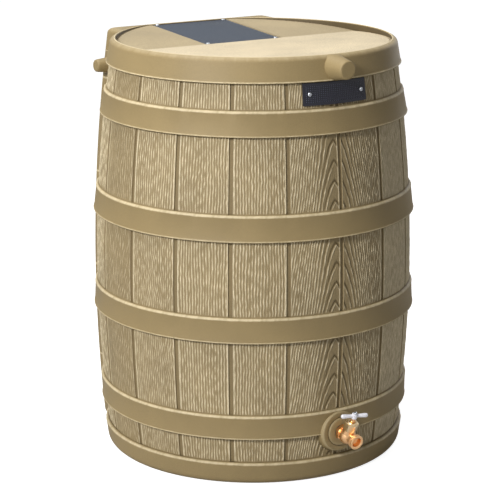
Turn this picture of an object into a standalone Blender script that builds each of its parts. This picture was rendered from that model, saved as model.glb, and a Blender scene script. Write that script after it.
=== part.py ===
"""Rain barrel: a one-piece moulded tank in the form of a hooped wooden barrel with a flat
back, a screened inlet hatch in the deck, a screened overflow at the front and a brass
compression spigot low on the front.

Frame: metres, +Z up. The origin is on the floor, on the axis of the round body. The
spigot faces -Y and the flat back faces +Y.
"""
import math

import bmesh
import bpy
from mathutils import Matrix, Vector

# ---------------------------------------------------------------- driving dimensions
# Round body
HEIGHT = 0.7905                # floor to the top of the rim
BELLY_RADIUS = 0.302           # stave surface where the barrel is widest
BELLY_HEIGHT = 0.345           # height of the widest place
TOP_RADIUS = 0.8752 * BELLY_RADIUS    # stave surface carried on up to the top of the rim
WALL = 0.0055                  # moulded wall
STAVES = 18                    # staves in a full circle
GROOVE_DEPTH = 0.0025          # seam between two staves
GROOVE_WIDTH = 0.0084
LAST_SEAM = 6                  # seams each side of the front seam, before the back corner

# Hoops, from the floor up: lower edge as a share of HEIGHT, and height of the band
HOOP_PLACES = ((0.1163, 0.0459), (0.3524, 0.0474), (0.5887, 0.0488), (0.8249, 0.0463))
HOOP_PROUD_LOW = 0.0085        # stands out of the staves at the lower edge
HOOP_PROUD_HIGH = 0.0050       # and under the rolled upper edge
HOOP_EDGE = 0.0035             # height of the rolled upper edge
DRAFT = 0.0007                 # slope of every moulded ledge, so that it leaves the mould
BASE_BAND_TOP = 0.0444
BASE_BAND_PROUD = 0.0075
BASE_ROUNDING = 0.014          # the base band turns in to the floor over this height
BASE_TURN_IN = 0.013
RIM_BAND_HEIGHT = 0.0451
RIM_BAND_PROUD_LOW = 0.0075
RIM_BAND_PROUD_HIGH = 0.0056
RIM_ROUNDING = 0.0085          # rounded upper edge of the rim
RIM_LAND = 0.0015              # narrow flat ring between that rounding and the dished deck

# Flat back
BACK_PLANE = 0.83775 * BELLY_RADIUS   # axis to the flat back
BACK_HALF_WIDTH = 0.7252 * BELLY_RADIUS  # half width of the back where it is widest
BACK_WIDEST_HEIGHT = 0.31
BACK_TOP_HALF_WIDTH = 0.599 * BELLY_RADIUS  # and at the top of the rim
BACK_CORNER = 0.012            # plan radius of the back's two corners

# Deck: two shallow slopes that meet in a crease along the front of the hatch
DECK_CREASE_DROP = 0.0135      # below the rim
DECK_EDGE_DROP = 0.0015        # below the rim at the front and at the back
DECK_BACK_MARGIN = 0.0035      # deck edge to the start of the back's rounding

# Inlet hatch
HATCH_WIDTH = 0.168            # screen
HATCH_LENGTH = 0.212
HATCH_FRONT_Y = 0.033
HATCH_SINK_FRONT = 0.0158      # screen top below the rim, front edge
HATCH_SINK_BACK = 0.0025       # and back edge
HATCH_PLATE = 0.0030           # screen thickness
HATCH_CLEARANCE = 0.0015       # round the screen in its recess
HATCH_LEDGE = 0.0135           # ledge that carries the screen
HATCH_TRAY_WALL = 0.0065       # material under and round the recess
HATCH_SCREW_INSET = 0.0085     # screw centre to the screen's edges

# Overflow
OVERFLOW_WIDTH = 0.134         # screen, along the curve
OVERFLOW_HEIGHT = 0.0395
OVERFLOW_BELOW_RIM_BAND = 0.0018
OVERFLOW_PLATE = 0.0024
OVERFLOW_SEAT_GAP = 0.0009     # the curved screen's clearance over the flat-faceted staves
OVERFLOW_SLOT_WIDTH = 0.090
OVERFLOW_SLOT_HEIGHT = 0.020
OVERFLOW_SCREW_SPAN = 0.109    # between the two screws, along the curve
OVERFLOW_COLUMNS = 9           # flat facets of the bent screen
OVERFLOW_ROWS = 2

# Blank port bosses
FRONT_PORT_DROP = 0.0228       # axis below the rim
FRONT_PORT_LENGTH = 0.0375     # out of the rim band
FRONT_PORT_BURIED = 0.0140     # root inside the band's face, under the rounded rim
FRONT_PORT_ROOT_RADIUS = 0.0252
FRONT_PORT_END_RADIUS = 0.0165
SIDE_PORT_Y = BACK_PLANE - 0.031
SIDE_PORT_DROP = 0.0685
SIDE_PORT_LENGTH = 0.030       # out of the back's side face
SIDE_PORT_ROOT_RADIUS = 0.0155
SIDE_PORT_END_RADIUS = 0.0118

# Screws (pan head, self-tapping)
SCREW_HEAD_RADIUS = 0.0038
SCREW_HEAD_HEIGHT = 0.0026
SCREW_SHANK_RADIUS = 0.0019
SCREW_SHOULDER = 0.72          # share of the head's height where its dome starts
SCREW_DOME = 0.55              # share of its radius that is flat on top
HATCH_SCREW_LENGTH = 0.0085
OVERFLOW_SCREW_LENGTH = 0.0075

# Spigot
SPIGOT_HEIGHT = 0.0945         # axis of the inlet
BOSS_RADIUS = 0.0380           # moulded pad round the spigot
BOSS_BEVEL = 0.0030
BOSS_FACE_PROUD = 0.0125       # pad face out of the stave surface
DISC_RADIUS = 0.0262           # raised disc on the pad
DISC_PROUD = 0.0030
DISC_BEVEL = 0.0015
SOCKET_WALL = 0.0075           # plastic round the threaded insert
SOCKET_DEPTH = 0.0300          # disc face to the inner end of the socket
INSERT_LENGTH = 0.0200
INSERT_RADIUS = 0.0135
INSERT_FLANGE_RADIUS = 0.0165
INSERT_FLANGE_FROM = 0.0070    # outer face of the insert to its buried flange
INSERT_FLANGE_WIDTH = 0.0060
SHANK_RADIUS = 0.0103          # threaded inlet
SHANK_LENGTH = 0.0250
GASKET_THICKNESS = 0.0020
GASKET_RADIUS = 0.0138
HEX_FLATS = 0.0280             # wall hexagon, across flats
HEX_LENGTH = 0.0080
GLOBE_RADIUS = 0.0155          # valve body
GLOBE_STAND_OFF = 0.0105       # hexagon's outer face to the valve centre
GLOBE_DROP = 0.0020            # globe's middle under the valve centre, along the stem
INLET_BORE = 0.0070            # radius
INLET_BORE_END = 0.0035        # inner end of the inlet bore, back from the hexagon's face
PORT_BORE = 0.0045             # radius of the valve seat
PORT_DEPTH = 0.0095            # of the bore under the seat
CHAMBER_RADIUS = 0.0078
OUTLET_ANGLE = 12.0            # degrees below the horizontal
OUTLET_LENGTH = 0.0305         # valve centre to the mouth
OUTLET_NECK_RADIUS = 0.0112
OUTLET_NECK_START = 0.0040     # neck's root, from the valve centre
OUTLET_THREAD_RADIUS = 0.0137  # 3/4 inch garden hose thread
OUTLET_THREAD_LENGTH = 0.0120
OUTLET_BORE = 0.0088
OUTLET_BORE_START = 0.0055
STEM_TILT = 25.0               # degrees forward of the vertical
BONNET_RADIUS = 0.0105         # round neck under the packing nut
BONNET_ROOT = 0.0015
BONNET_TOP = 0.0190            # along the stem, from the valve centre
NUT_FLATS = 0.0230
NUT_TOP = 0.0340
NUT_ROOF = 0.0030              # thickness over the packing
NUT_SKIRT = 0.0035             # length screwed over the bonnet neck
STEM_RADIUS = 0.00475
STEM_COLLAR_RADIUS = 0.0070    # carries the coarse thread
STEM_COLLAR_TOP = 0.0140
STEM_FOOT_LENGTH = 0.0020      # plain end under the collar, and the taper above it
SEAT_HEIGHT = -0.0010          # valve seat, along the stem
SEAT_WASHER_RADIUS = 0.0062
SEAT_WASHER_THICKNESS = 0.0030
WASHER_SCREW_HEAD_RADIUS = 0.0030
WASHER_SCREW_HEAD = 0.0014
WASHER_SCREW_SHANK_RADIUS = 0.0015
WASHER_SCREW_LENGTH = 0.0080
PACKING_THICKNESS = 0.0050
FRICTION_RING_THICKNESS = 0.0010
HANDLE_HEIGHT = 0.0478         # middle of the bar, along the stem
HANDLE_LENGTH = 0.0540
HANDLE_BAR_RADIUS = 0.0041
HANDLE_HUB_RADIUS = 0.0058
HANDLE_HUB_LENGTH = 0.0100
HANDLE_HUB_TAPER = 0.9         # top radius as a share of the bottom one
HANDLE_TURN = -10.0            # degrees, as closed
HANDLE_SCREW_HEAD_RADIUS = 0.0037
HANDLE_SCREW_HEAD = 0.0024
HANDLE_SCREW_SHANK_RADIUS = 0.0018
HANDLE_SCREW_LENGTH = 0.0130
STEM_SPIGOT_RADIUS = 0.0034    # reduced end of the stem inside the handle hub

GAP = 0.0003                   # between pieces that touch
ROUND = 32                     # facets on turned brass pieces
SMALL_ROUND = 16               # facets on screws

# Derived
BELLY_CURVE = (BELLY_RADIUS - TOP_RADIUS) / (HEIGHT - BELLY_HEIGHT) ** 2
BACK_CURVE = (BACK_HALF_WIDTH - BACK_TOP_HALF_WIDTH) / (HEIGHT - BACK_WIDEST_HEIGHT) ** 2
HOOP_BANDS = [(share * HEIGHT, height) for share, height in HOOP_PLACES]
RIM_BAND_BOTTOM = HEIGHT - RIM_BAND_HEIGHT


# ---------------------------------------------------------------- scene and helpers
def clear_scene():
    for obj in list(bpy.data.objects):
        bpy.data.objects.remove(obj, do_unlink=True)


def new_collection(name):
    coll = bpy.data.collections.new(name)
    bpy.context.scene.collection.children.link(coll)
    return coll


def new_material(name, colour, roughness, metallic=0.0):
    mat = bpy.data.materials.new(name)
    mat.use_nodes = True
    shader = mat.node_tree.nodes["Principled BSDF"]
    shader.inputs["Base Color"].default_value = (*colour, 1.0)
    shader.inputs["Roughness"].default_value = roughness
    shader.inputs["Metallic"].default_value = metallic
    return mat


def add_object(name, mesh, material=None, matrix=None):
    """A part when it has a material, and a cutter when it has none."""
    obj = bpy.data.objects.new(name, mesh)
    if matrix is not None:
        obj.matrix_world = matrix
    if material is None:
        CUTTERS.objects.link(obj)
        obj.hide_render = True
        obj.display_type = 'WIRE'
    else:
        PARTS.objects.link(obj)
        obj.data.materials.append(material)
    return obj


def mesh_from(name, bm):
    bmesh.ops.recalc_face_normals(bm, faces=bm.faces)
    mesh = bpy.data.meshes.new(name)
    bm.to_mesh(mesh)
    bm.free()
    return mesh


def box(name, low, high, material=None):
    low, high = Vector(low), Vector(high)
    bm = bmesh.new()
    bmesh.ops.create_cube(bm, size=1.0)
    bmesh.ops.scale(bm, vec=high - low, verts=bm.verts)
    bmesh.ops.translate(bm, vec=(low + high) / 2, verts=bm.verts)
    return add_object(name, mesh_from(name, bm), material)


def cone(name, start, end, start_radius, end_radius, segments=ROUND, material=None):
    """A round or many-sided frustum from start to end."""
    start, end = Vector(start), Vector(end)
    bm = bmesh.new()
    bmesh.ops.create_cone(bm, cap_ends=True, segments=segments, radius1=start_radius,
                          radius2=end_radius, depth=(end - start).length)
    bmesh.ops.transform(bm, matrix=aim((start + end) / 2, end - start), verts=bm.verts)
    return add_object(name, mesh_from(name, bm), material)


def aim(origin, direction):
    """Places a shape made along +Z so that it stands at origin and points along direction."""
    turn = Vector(direction).normalized().to_track_quat('Z', 'Y')
    return Matrix.Translation(origin) @ turn.to_matrix().to_4x4()


def turned(name, profile, material, matrix=None, steps=ROUND, closed=False):
    """Screw modifier on a (radius, height) profile that runs down its outer side."""
    mesh = bpy.data.meshes.new(name)
    edges = [(i, i + 1) for i in range(len(profile) - 1)]
    if closed:
        edges.append((len(profile) - 1, 0))
    mesh.from_pydata([(r, 0.0, z) for r, z in profile], edges, [])
    obj = add_object(name, mesh, material, matrix)
    screw = obj.modifiers.new("Screw", 'SCREW')
    screw.axis = 'Z'
    screw.steps = steps
    screw.render_steps = steps
    screw.use_merge_vertices = True
    screw.merge_threshold = 0.00001
    return obj


def ring(name, inner, outer, bottom, top, material, matrix=None, steps=ROUND):
    profile = [(inner, top), (outer, top), (outer, bottom), (inner, bottom)]
    return turned(name, profile, material, matrix, steps, closed=True)


def boolean(target, tool, operation='DIFFERENCE'):
    mod = target.modifiers.new(tool.name, 'BOOLEAN')
    mod.operation = operation
    mod.solver = 'EXACT'
    mod.object = tool


def shade(obj, degrees=35.0):
    obj.data.shade_smooth()
    obj.data.set_sharp_from_angle(angle=math.radians(degrees))


# ---------------------------------------------------------------- barrel geometry
CORNER_POINTS = 3              # plan points round each back corner
BACK_POINTS = 3                # and from there to the middle of the back


def stave_radius(z):
    return BELLY_RADIUS - BELLY_CURVE * (z - BELLY_HEIGHT) ** 2


def back_half_width(z):
    return BACK_HALF_WIDTH - BACK_CURVE * (z - BACK_WIDEST_HEIGHT) ** 2


DECK_RADIUS = stave_radius(HEIGHT) + RIM_BAND_PROUD_HIGH - RIM_ROUNDING - RIM_LAND
DECK_BACK_Y = BACK_PLANE - RIM_ROUNDING - DECK_BACK_MARGIN
DECK_CREASE_Y = HATCH_FRONT_Y - HATCH_CLEARANCE


def deck_height(y):
    """Height of the dished deck, which falls from the front and the back to its crease."""
    far = -DECK_RADIUS if y < DECK_CREASE_Y else DECK_BACK_Y
    share = (y - DECK_CREASE_Y) / (far - DECK_CREASE_Y)
    return HEIGHT - DECK_CREASE_DROP + share * (DECK_CREASE_DROP - DECK_EDGE_DROP)


def on_circle(radius, degrees):
    """Plan point at an angle from the front."""
    a = math.radians(degrees)
    return (radius * math.sin(a), -radius * math.cos(a))


def seam_angles():
    """Plan angles from the front, each with the share of the groove depth it takes."""
    pitch = 360.0 / STAVES
    half_groove = math.degrees(GROOVE_WIDTH / 2 / BELLY_RADIUS)
    angles = [(0.0, 1.0)]
    for seam in range(LAST_SEAM):
        angles.append((seam * pitch + half_groove, 0.0))
        angles.append(((seam + 0.5) * pitch, 0.0))
        angles.append(((seam + 1) * pitch - half_groove, 0.0))
        angles.append(((seam + 1) * pitch, 1.0))
    angles.append((LAST_SEAM * pitch + half_groove, 0.0))
    return angles


def half_outline(radius, half_width, back, groove):
    """Plan points of the right half, from the front seam round to the middle of the back."""
    points = [on_circle(radius - share * groove, degrees) for degrees, share in seam_angles()]
    meet_y = math.sqrt(radius ** 2 - half_width ** 2)
    meet = 180.0 - math.degrees(math.atan2(half_width, meet_y))
    points.append(on_circle(radius, (seam_angles()[-1][0] + meet) / 2))
    points.append((half_width, meet_y))
    for step in range(CORNER_POINTS):
        a = math.radians(90.0 * step / (CORNER_POINTS - 1))
        points.append((half_width - BACK_CORNER * (1 - math.cos(a)),
                       back - BACK_CORNER * (1 - math.sin(a))))
    edge = points[-1][0]
    for step in range(1, BACK_POINTS + 1):
        points.append((edge * (1 - step / BACK_POINTS), back))
    return points


def deck_outline():
    """Edge of the dished deck: a circle cut off at the back, with the outlines' point count."""
    corner_x = math.sqrt(DECK_RADIUS ** 2 - DECK_BACK_Y ** 2)
    corner = 180.0 - math.degrees(math.atan2(corner_x, DECK_BACK_Y))
    angles = [degrees for degrees, share in seam_angles()]
    last = angles[-1]
    extra = CORNER_POINTS + 2
    angles += [last + (corner - last) * step / extra for step in range(1, extra + 1)]
    points = [on_circle(DECK_RADIUS, degrees) for degrees in angles]
    for step in range(1, BACK_POINTS + 1):
        points.append((corner_x * (1 - step / BACK_POINTS), DECK_BACK_Y))
    return points


def with_crease(points):
    """The same half outline with its nearest point moved along it on to the deck's crease."""
    nearest = min(range(len(points)), key=lambda i: abs(points[i][1] - DECK_CREASE_Y))
    radius = math.hypot(*points[nearest])
    points = list(points)
    points[nearest] = (math.sqrt(radius ** 2 - DECK_CREASE_Y ** 2), DECK_CREASE_Y)
    return points


def barrel_rows():
    """(height, radius, half width, back plane, groove depth) of each plan outline."""
    rows = []

    def add(z, proud, groove=0.0, inset=0.0):
        rows.append((z, stave_radius(z) + proud - inset, back_half_width(z) - inset,
                     BACK_PLANE - inset, groove))

    for share in (0.0, 0.3, 1.0):
        turn_in = BASE_TURN_IN * (1 - math.sqrt(1 - (1 - share) ** 2))
        add(BASE_ROUNDING * share, BASE_BAND_PROUD, inset=turn_in)
    add(BASE_BAND_TOP, BASE_BAND_PROUD)
    lower = BASE_BAND_TOP
    for bottom, height in HOOP_BANDS:
        top = bottom + height
        add(lower + DRAFT, 0.0, GROOVE_DEPTH)
        if bottom - lower > height * 1.5:
            add((lower + bottom) / 2, 0.0, GROOVE_DEPTH)
        add(bottom - DRAFT, 0.0, GROOVE_DEPTH)
        add(bottom, HOOP_PROUD_LOW)
        add(top - HOOP_EDGE, HOOP_PROUD_HIGH)
        add(top, HOOP_PROUD_HIGH - HOOP_EDGE / 2)
        lower = top
    add(lower + DRAFT, 0.0, GROOVE_DEPTH)
    add(RIM_BAND_BOTTOM - DRAFT, 0.0, GROOVE_DEPTH)
    add(RIM_BAND_BOTTOM, RIM_BAND_PROUD_LOW)
    for degrees in (0.0, 45.0, 90.0):
        a = math.radians(degrees)
        add(HEIGHT - RIM_ROUNDING * (1 - math.sin(a)), RIM_BAND_PROUD_HIGH,
            inset=RIM_ROUNDING * (1 - math.cos(a)))
    return rows


def loft(name, rings, matrix=None):
    """Closed solid through half outlines of 3-D points, each mirrored at x = 0."""
    bm = bmesh.new()
    half = len(rings[0])
    loops = []
    for ring_points in rings:
        mirrored = [(-x, y, z) for x, y, z in reversed(ring_points[1:-1])]
        loops.append([bm.verts.new(p) for p in list(ring_points) + mirrored])
    count = len(loops[0])
    for low, high in zip(loops, loops[1:]):
        for i in range(count):
            j = (i + 1) % count
            bm.faces.new((low[i], low[j], high[j], high[i]))
    bm.faces.new(list(reversed(loops[0])))
    top = loops[-1]
    bm.faces.new((top[0], top[1], top[-1]))
    straight = half - 1 - BACK_POINTS
    for i in range(1, straight - 1):
        bm.faces.new((top[i], top[i + 1], top[-i - 1], top[-i]))
    back_edge = [top[i] for i in range(straight - 1, count - straight + 2)]
    bm.faces.new(back_edge)
    return mesh_from(name, bm)


def at_height(points, z):
    return [(x, y, z) for x, y in points]


def on_deck(points, drop=0.0):
    return [(x, y, deck_height(y) - drop) for x, y in points]


def barrel_solid():
    rings = [at_height(half_outline(r, w, b, g), z) for z, r, w, b, g in barrel_rows()]
    edge = with_crease(deck_outline())
    rings.append(at_height(edge, HEIGHT))
    rings.append(on_deck(edge))
    return loft("tank_shell", rings)


def cavity_solid():
    """Inside of the tank, one wall in from the stave surface and the deck."""
    floor = WALL
    shoulder = HEIGHT - RIM_ROUNDING - DECK_CREASE_DROP - WALL
    turn_in = BASE_TURN_IN + BASE_ROUNDING - WALL
    heights = [floor + BASE_ROUNDING + (shoulder - floor - BASE_ROUNDING) * i / 6
               for i in range(7)]

    def outline(z, inset):
        return half_outline(stave_radius(z) - inset, back_half_width(z) - inset,
                            BACK_PLANE - inset, 0.0)

    rings = [at_height(outline(floor, turn_in), floor)]
    rings += [at_height(outline(z, WALL), z) for z in heights]
    rings.append(on_deck(with_crease(outline(HEIGHT, RIM_ROUNDING + WALL / 2)), WALL))
    return loft("cavity", rings)


# ---------------------------------------------------------------- shared places
HATCH_SLOPE = math.asin((HATCH_SINK_FRONT - HATCH_SINK_BACK) / HATCH_LENGTH)
HATCH_FRAME = (Matrix.Translation((0.0, HATCH_FRONT_Y, HEIGHT - HATCH_SINK_FRONT))
               @ Matrix.Rotation(HATCH_SLOPE, 4, 'X'))

OVERFLOW_TOP = RIM_BAND_BOTTOM - OVERFLOW_BELOW_RIM_BAND
OVERFLOW_MIDDLE = OVERFLOW_TOP - OVERFLOW_HEIGHT / 2

DISC_FACE = stave_radius(SPIGOT_HEIGHT) + BOSS_FACE_PROUD + DISC_PROUD
HEX_BACK = DISC_FACE + GASKET_THICKNESS
HEX_FRONT = HEX_BACK + HEX_LENGTH
VALVE_CENTRE = Vector((0.0, -(HEX_FRONT + GLOBE_STAND_OFF), SPIGOT_HEIGHT))
STEM_FRAME = Matrix.Translation(VALVE_CENTRE) @ Matrix.Rotation(math.radians(STEM_TILT), 4, 'X')
OUTLET_FRAME = (Matrix.Translation(VALVE_CENTRE)
                @ Matrix.Rotation(math.radians(90.0 + OUTLET_ANGLE), 4, 'X'))


def on_inlet(reach, drop=0.0):
    """Point on the spigot's inlet axis, reach out from the barrel's axis."""
    return (0.0, -reach, SPIGOT_HEIGHT - drop)


def on_stem(height):
    return STEM_FRAME @ Vector((0.0, 0.0, height))


def on_outlet(reach):
    return OUTLET_FRAME @ Vector((0.0, 0.0, reach))


def in_hatch(name, low, high, material=None):
    """A box in the tilted frame of the hatch, whose origin is the screen's top front edge."""
    obj = box(name, low, high, material)
    obj.matrix_world = HATCH_FRAME
    return obj


def hatch_screw_places():
    x = HATCH_WIDTH / 2 - HATCH_SCREW_INSET
    ends = (HATCH_SCREW_INSET, HATCH_LENGTH - HATCH_SCREW_INSET)
    return [HATCH_FRAME @ Matrix.Translation((side * x, y, 0.0))
            for side in (-1, 1) for y in ends]


def overflow_surface(along, z, out):
    """Point on the overflow screen's cone: along the curve, at a height, out of the staves."""
    radius = stave_radius(z) + OVERFLOW_SEAT_GAP + out
    angle = along / stave_radius(OVERFLOW_MIDDLE)
    return Vector((radius * math.sin(angle), -radius * math.cos(angle), z))


def overflow_screw_places():
    places = []
    for side in (-1, 1):
        along = side * OVERFLOW_SCREW_SPAN / 2
        seat = overflow_surface(along, OVERFLOW_MIDDLE, OVERFLOW_PLATE)
        step = OVERFLOW_HEIGHT / 4
        up = (overflow_surface(along, OVERFLOW_MIDDLE + step, 0.0)
              - overflow_surface(along, OVERFLOW_MIDDLE - step, 0.0))
        across = Vector((math.cos(along / seat.xy.length), math.sin(along / seat.xy.length), 0.0))
        places.append(aim(seat, across.cross(up)))
    return places


def screw_profile(length):
    """Pan-head screw along +Z, with the underside of its head at height GAP."""
    r, h, s = SCREW_HEAD_RADIUS, SCREW_HEAD_HEIGHT, SCREW_SHANK_RADIUS
    return [(0.0, GAP + h), (r * SCREW_DOME, GAP + h), (r, GAP + h * SCREW_SHOULDER),
            (r, GAP), (s, GAP), (s, s - length), (0.0, -length)]


def pilot_holes(name, places, length):
    for index, place in enumerate(places):
        yield cone(f"{name}_{index}", place @ Vector((0.0, 0.0, SCREW_HEAD_HEIGHT)),
                   place @ Vector((0.0, 0.0, -length - GAP)),
                   SCREW_SHANK_RADIUS + GAP, SCREW_SHANK_RADIUS + GAP, SMALL_ROUND)


# ---------------------------------------------------------------- tank
def add_bosses(tank):
    pad_back = stave_radius(SPIGOT_HEIGHT) - WALL / 2
    pad_face = DISC_FACE - DISC_PROUD
    boolean(tank, cone("spigot_pad", on_inlet(pad_back), on_inlet(pad_face - BOSS_BEVEL),
                       BOSS_RADIUS, BOSS_RADIUS, 48), 'UNION')
    boolean(tank, cone("spigot_pad_bevel", on_inlet(pad_face - BOSS_BEVEL - GAP),
                       on_inlet(pad_face), BOSS_RADIUS, BOSS_RADIUS - BOSS_BEVEL, 48), 'UNION')
    boolean(tank, cone("spigot_disc", on_inlet(pad_back), on_inlet(DISC_FACE), DISC_RADIUS,
                       DISC_RADIUS - DISC_BEVEL, 40), 'UNION')
    z = HEIGHT - FRONT_PORT_DROP
    root = stave_radius(z) + RIM_BAND_PROUD_LOW
    port = cone("front_port", (0, -(root - FRONT_PORT_BURIED), z),
                (0, -(root + FRONT_PORT_LENGTH), z), FRONT_PORT_ROOT_RADIUS,
                FRONT_PORT_END_RADIUS)
    boolean(port, box("port_trim", (-2 * FRONT_PORT_ROOT_RADIUS, -root - FRONT_PORT_LENGTH - WALL,
                                    HEIGHT - GAP),
                      (2 * FRONT_PORT_ROOT_RADIUS, -root + 2 * FRONT_PORT_BURIED, HEIGHT + WALL)))
    boolean(tank, port, 'UNION')
    z = HEIGHT - SIDE_PORT_DROP
    root = back_half_width(z)
    for side, name in ((-1, "left_port"), (1, "right_port")):
        boolean(tank, cone(name, (side * (root - WALL), SIDE_PORT_Y, z),
                           (side * (root + SIDE_PORT_LENGTH), SIDE_PORT_Y, z),
                           SIDE_PORT_ROOT_RADIUS, SIDE_PORT_END_RADIUS, 24), 'UNION')


def hollow_out(tank):
    """The cavity leaves room for the hatch tray and for the socket of the threaded insert."""
    cavity = add_object("cavity", cavity_solid())
    side = HATCH_WIDTH / 2 + HATCH_CLEARANCE + HATCH_TRAY_WALL
    depth = HATCH_PLATE + GAP + HATCH_TRAY_WALL
    boolean(cavity, in_hatch("hatch_tray",
                             (-side, -HATCH_CLEARANCE - HATCH_TRAY_WALL, -depth),
                             (side, BACK_PLANE, 10 * depth)))
    boolean(cavity, cone("socket", on_inlet(DISC_FACE - SOCKET_DEPTH), on_inlet(DISC_FACE),
                         INSERT_FLANGE_RADIUS + SOCKET_WALL,
                         INSERT_FLANGE_RADIUS + SOCKET_WALL))
    boolean(tank, cavity)
    z = HEIGHT - FRONT_PORT_DROP
    root = stave_radius(z) + RIM_BAND_PROUD_LOW
    boolean(tank, cone("front_port_core", (0, -(root - 3 * WALL), z),
                       (0, -(root + FRONT_PORT_LENGTH - WALL), z),
                       FRONT_PORT_ROOT_RADIUS - WALL, FRONT_PORT_END_RADIUS - WALL, 20))
    z = HEIGHT - SIDE_PORT_DROP
    root = back_half_width(z)
    for side, name in ((-1, "left_port_core"), (1, "right_port_core")):
        boolean(tank, cone(name, (side * (root - 3 * WALL), SIDE_PORT_Y, z),
                           (side * (root + SIDE_PORT_LENGTH - WALL), SIDE_PORT_Y, z),
                           SIDE_PORT_ROOT_RADIUS - WALL, SIDE_PORT_END_RADIUS - WALL, 16))


def cut_hatch(tank):
    half = HATCH_WIDTH / 2
    depth = HATCH_PLATE + GAP
    boolean(tank, in_hatch("hatch_recess", (-half - HATCH_CLEARANCE, -HATCH_CLEARANCE, -depth),
                           (half + HATCH_CLEARANCE, HATCH_LENGTH + HATCH_CLEARANCE,
                            DECK_CREASE_DROP * 3)))
    boolean(tank, in_hatch("hatch_opening", (-half + HATCH_LEDGE, HATCH_LEDGE, -0.05),
                           (half - HATCH_LEDGE, HATCH_LENGTH - HATCH_LEDGE, 0.0)))
    for hole in pilot_holes("hatch_pilot", hatch_screw_places(), HATCH_SCREW_LENGTH):
        boolean(tank, hole)


def cut_overflow(tank):
    reach = stave_radius(OVERFLOW_MIDDLE)
    boolean(tank, box("overflow_slot",
                      (-OVERFLOW_SLOT_WIDTH / 2, -reach - 5 * WALL,
                       OVERFLOW_MIDDLE - OVERFLOW_SLOT_HEIGHT / 2),
                      (OVERFLOW_SLOT_WIDTH / 2, -reach + 4 * WALL,
                       OVERFLOW_MIDDLE + OVERFLOW_SLOT_HEIGHT / 2)))
    for hole in pilot_holes("overflow_pilot", overflow_screw_places(), OVERFLOW_SCREW_LENGTH):
        boolean(tank, hole)


def insert_profile(grow):
    """Insert's outer side from its outer face inwards, grown for the socket that holds it."""
    r, flange = INSERT_RADIUS + grow, INSERT_FLANGE_RADIUS + grow
    start, end = -INSERT_FLANGE_FROM + grow, -INSERT_FLANGE_FROM - INSERT_FLANGE_WIDTH - grow
    return [(r, 0.0), (r, start), (flange, start), (flange, end), (r, end),
            (r, -INSERT_LENGTH - grow)]


def cut_insert_socket(tank):
    """Moulded round the insert: its groove profile, and the water way behind it."""
    frame = aim(on_inlet(DISC_FACE), (0, -1, 0))
    profile = insert_profile(GAP)
    profile[0] = (profile[0][0], WALL)
    profile = [(0.0, WALL)] + profile + [(0.0, profile[-1][1])]
    boolean(tank, turned("insert_socket", profile, None, frame))
    boolean(tank, cone("socket_bore", on_inlet(DISC_FACE - INSERT_LENGTH + GAP),
                       on_inlet(DISC_FACE - SOCKET_DEPTH - WALL),
                       SHANK_RADIUS + 2 * GAP, SHANK_RADIUS + 2 * GAP))


def make_tank():
    tank = add_object("tank_shell", barrel_solid(), RESIN)
    add_bosses(tank)
    hollow_out(tank)
    cut_hatch(tank)
    cut_overflow(tank)
    cut_insert_socket(tank)
    shade(tank, 30.0)


# ---------------------------------------------------------------- screens and screws
def make_hatch_screen():
    half = HATCH_WIDTH / 2
    screen = in_hatch("hatch_screen", (-half, 0.0, -HATCH_PLATE), (half, HATCH_LENGTH, 0.0),
                      MESH_GREY)
    for hole in pilot_holes("screen_hole", hatch_screw_places(), HATCH_SCREW_LENGTH):
        boolean(screen, hole)


def make_overflow_screen():
    """A flat sheet bent on to the cone of the staves, thickened outwards."""
    bm = bmesh.new()
    bmesh.ops.create_grid(bm, x_segments=OVERFLOW_COLUMNS, y_segments=OVERFLOW_ROWS, size=0.5)
    for vert in bm.verts:
        z = OVERFLOW_MIDDLE + vert.co.y * OVERFLOW_HEIGHT
        vert.co = overflow_surface(vert.co.x * OVERFLOW_WIDTH, z, 0.0)
    bmesh.ops.recalc_face_normals(bm, faces=bm.faces)
    face = bm.faces[:][0]
    if face.normal.y > 0:
        bmesh.ops.reverse_faces(bm, faces=bm.faces)
    mesh = bpy.data.meshes.new("overflow_screen")
    bm.to_mesh(mesh)
    bm.free()
    screen = add_object("overflow_screen", mesh, MESH_BLACK)
    solidify = screen.modifiers.new("Solidify", 'SOLIDIFY')
    solidify.thickness = OVERFLOW_PLATE
    solidify.offset = 1.0
    for hole in pilot_holes("vent_hole", overflow_screw_places(), OVERFLOW_SCREW_LENGTH):
        boolean(screen, hole)


def make_screws():
    for name, places, length in (
            ("hatch_screw", hatch_screw_places(), HATCH_SCREW_LENGTH),
            ("overflow_screw", overflow_screw_places(), OVERFLOW_SCREW_LENGTH)):
        for number, place in enumerate(places, start=1):
            shade(turned(f"{name}_{number}", screw_profile(length), STEEL, place, SMALL_ROUND))


# ---------------------------------------------------------------- spigot
def make_inlet_parts():
    frame = aim(on_inlet(DISC_FACE), (0, -1, 0))
    bore = SHANK_RADIUS + GAP
    outer = [(r, z - GAP if i == 0 else z) for i, (r, z) in enumerate(insert_profile(0.0))]
    profile = [(bore, outer[0][1])] + outer + [(bore, outer[-1][1])]
    shade(turned("spigot_insert", profile, BRASS, frame, closed=True))
    shade(ring("spigot_gasket", SHANK_RADIUS + GAP, GASKET_RADIUS, GAP, GASKET_THICKNESS - GAP,
               RUBBER, frame))


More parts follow.
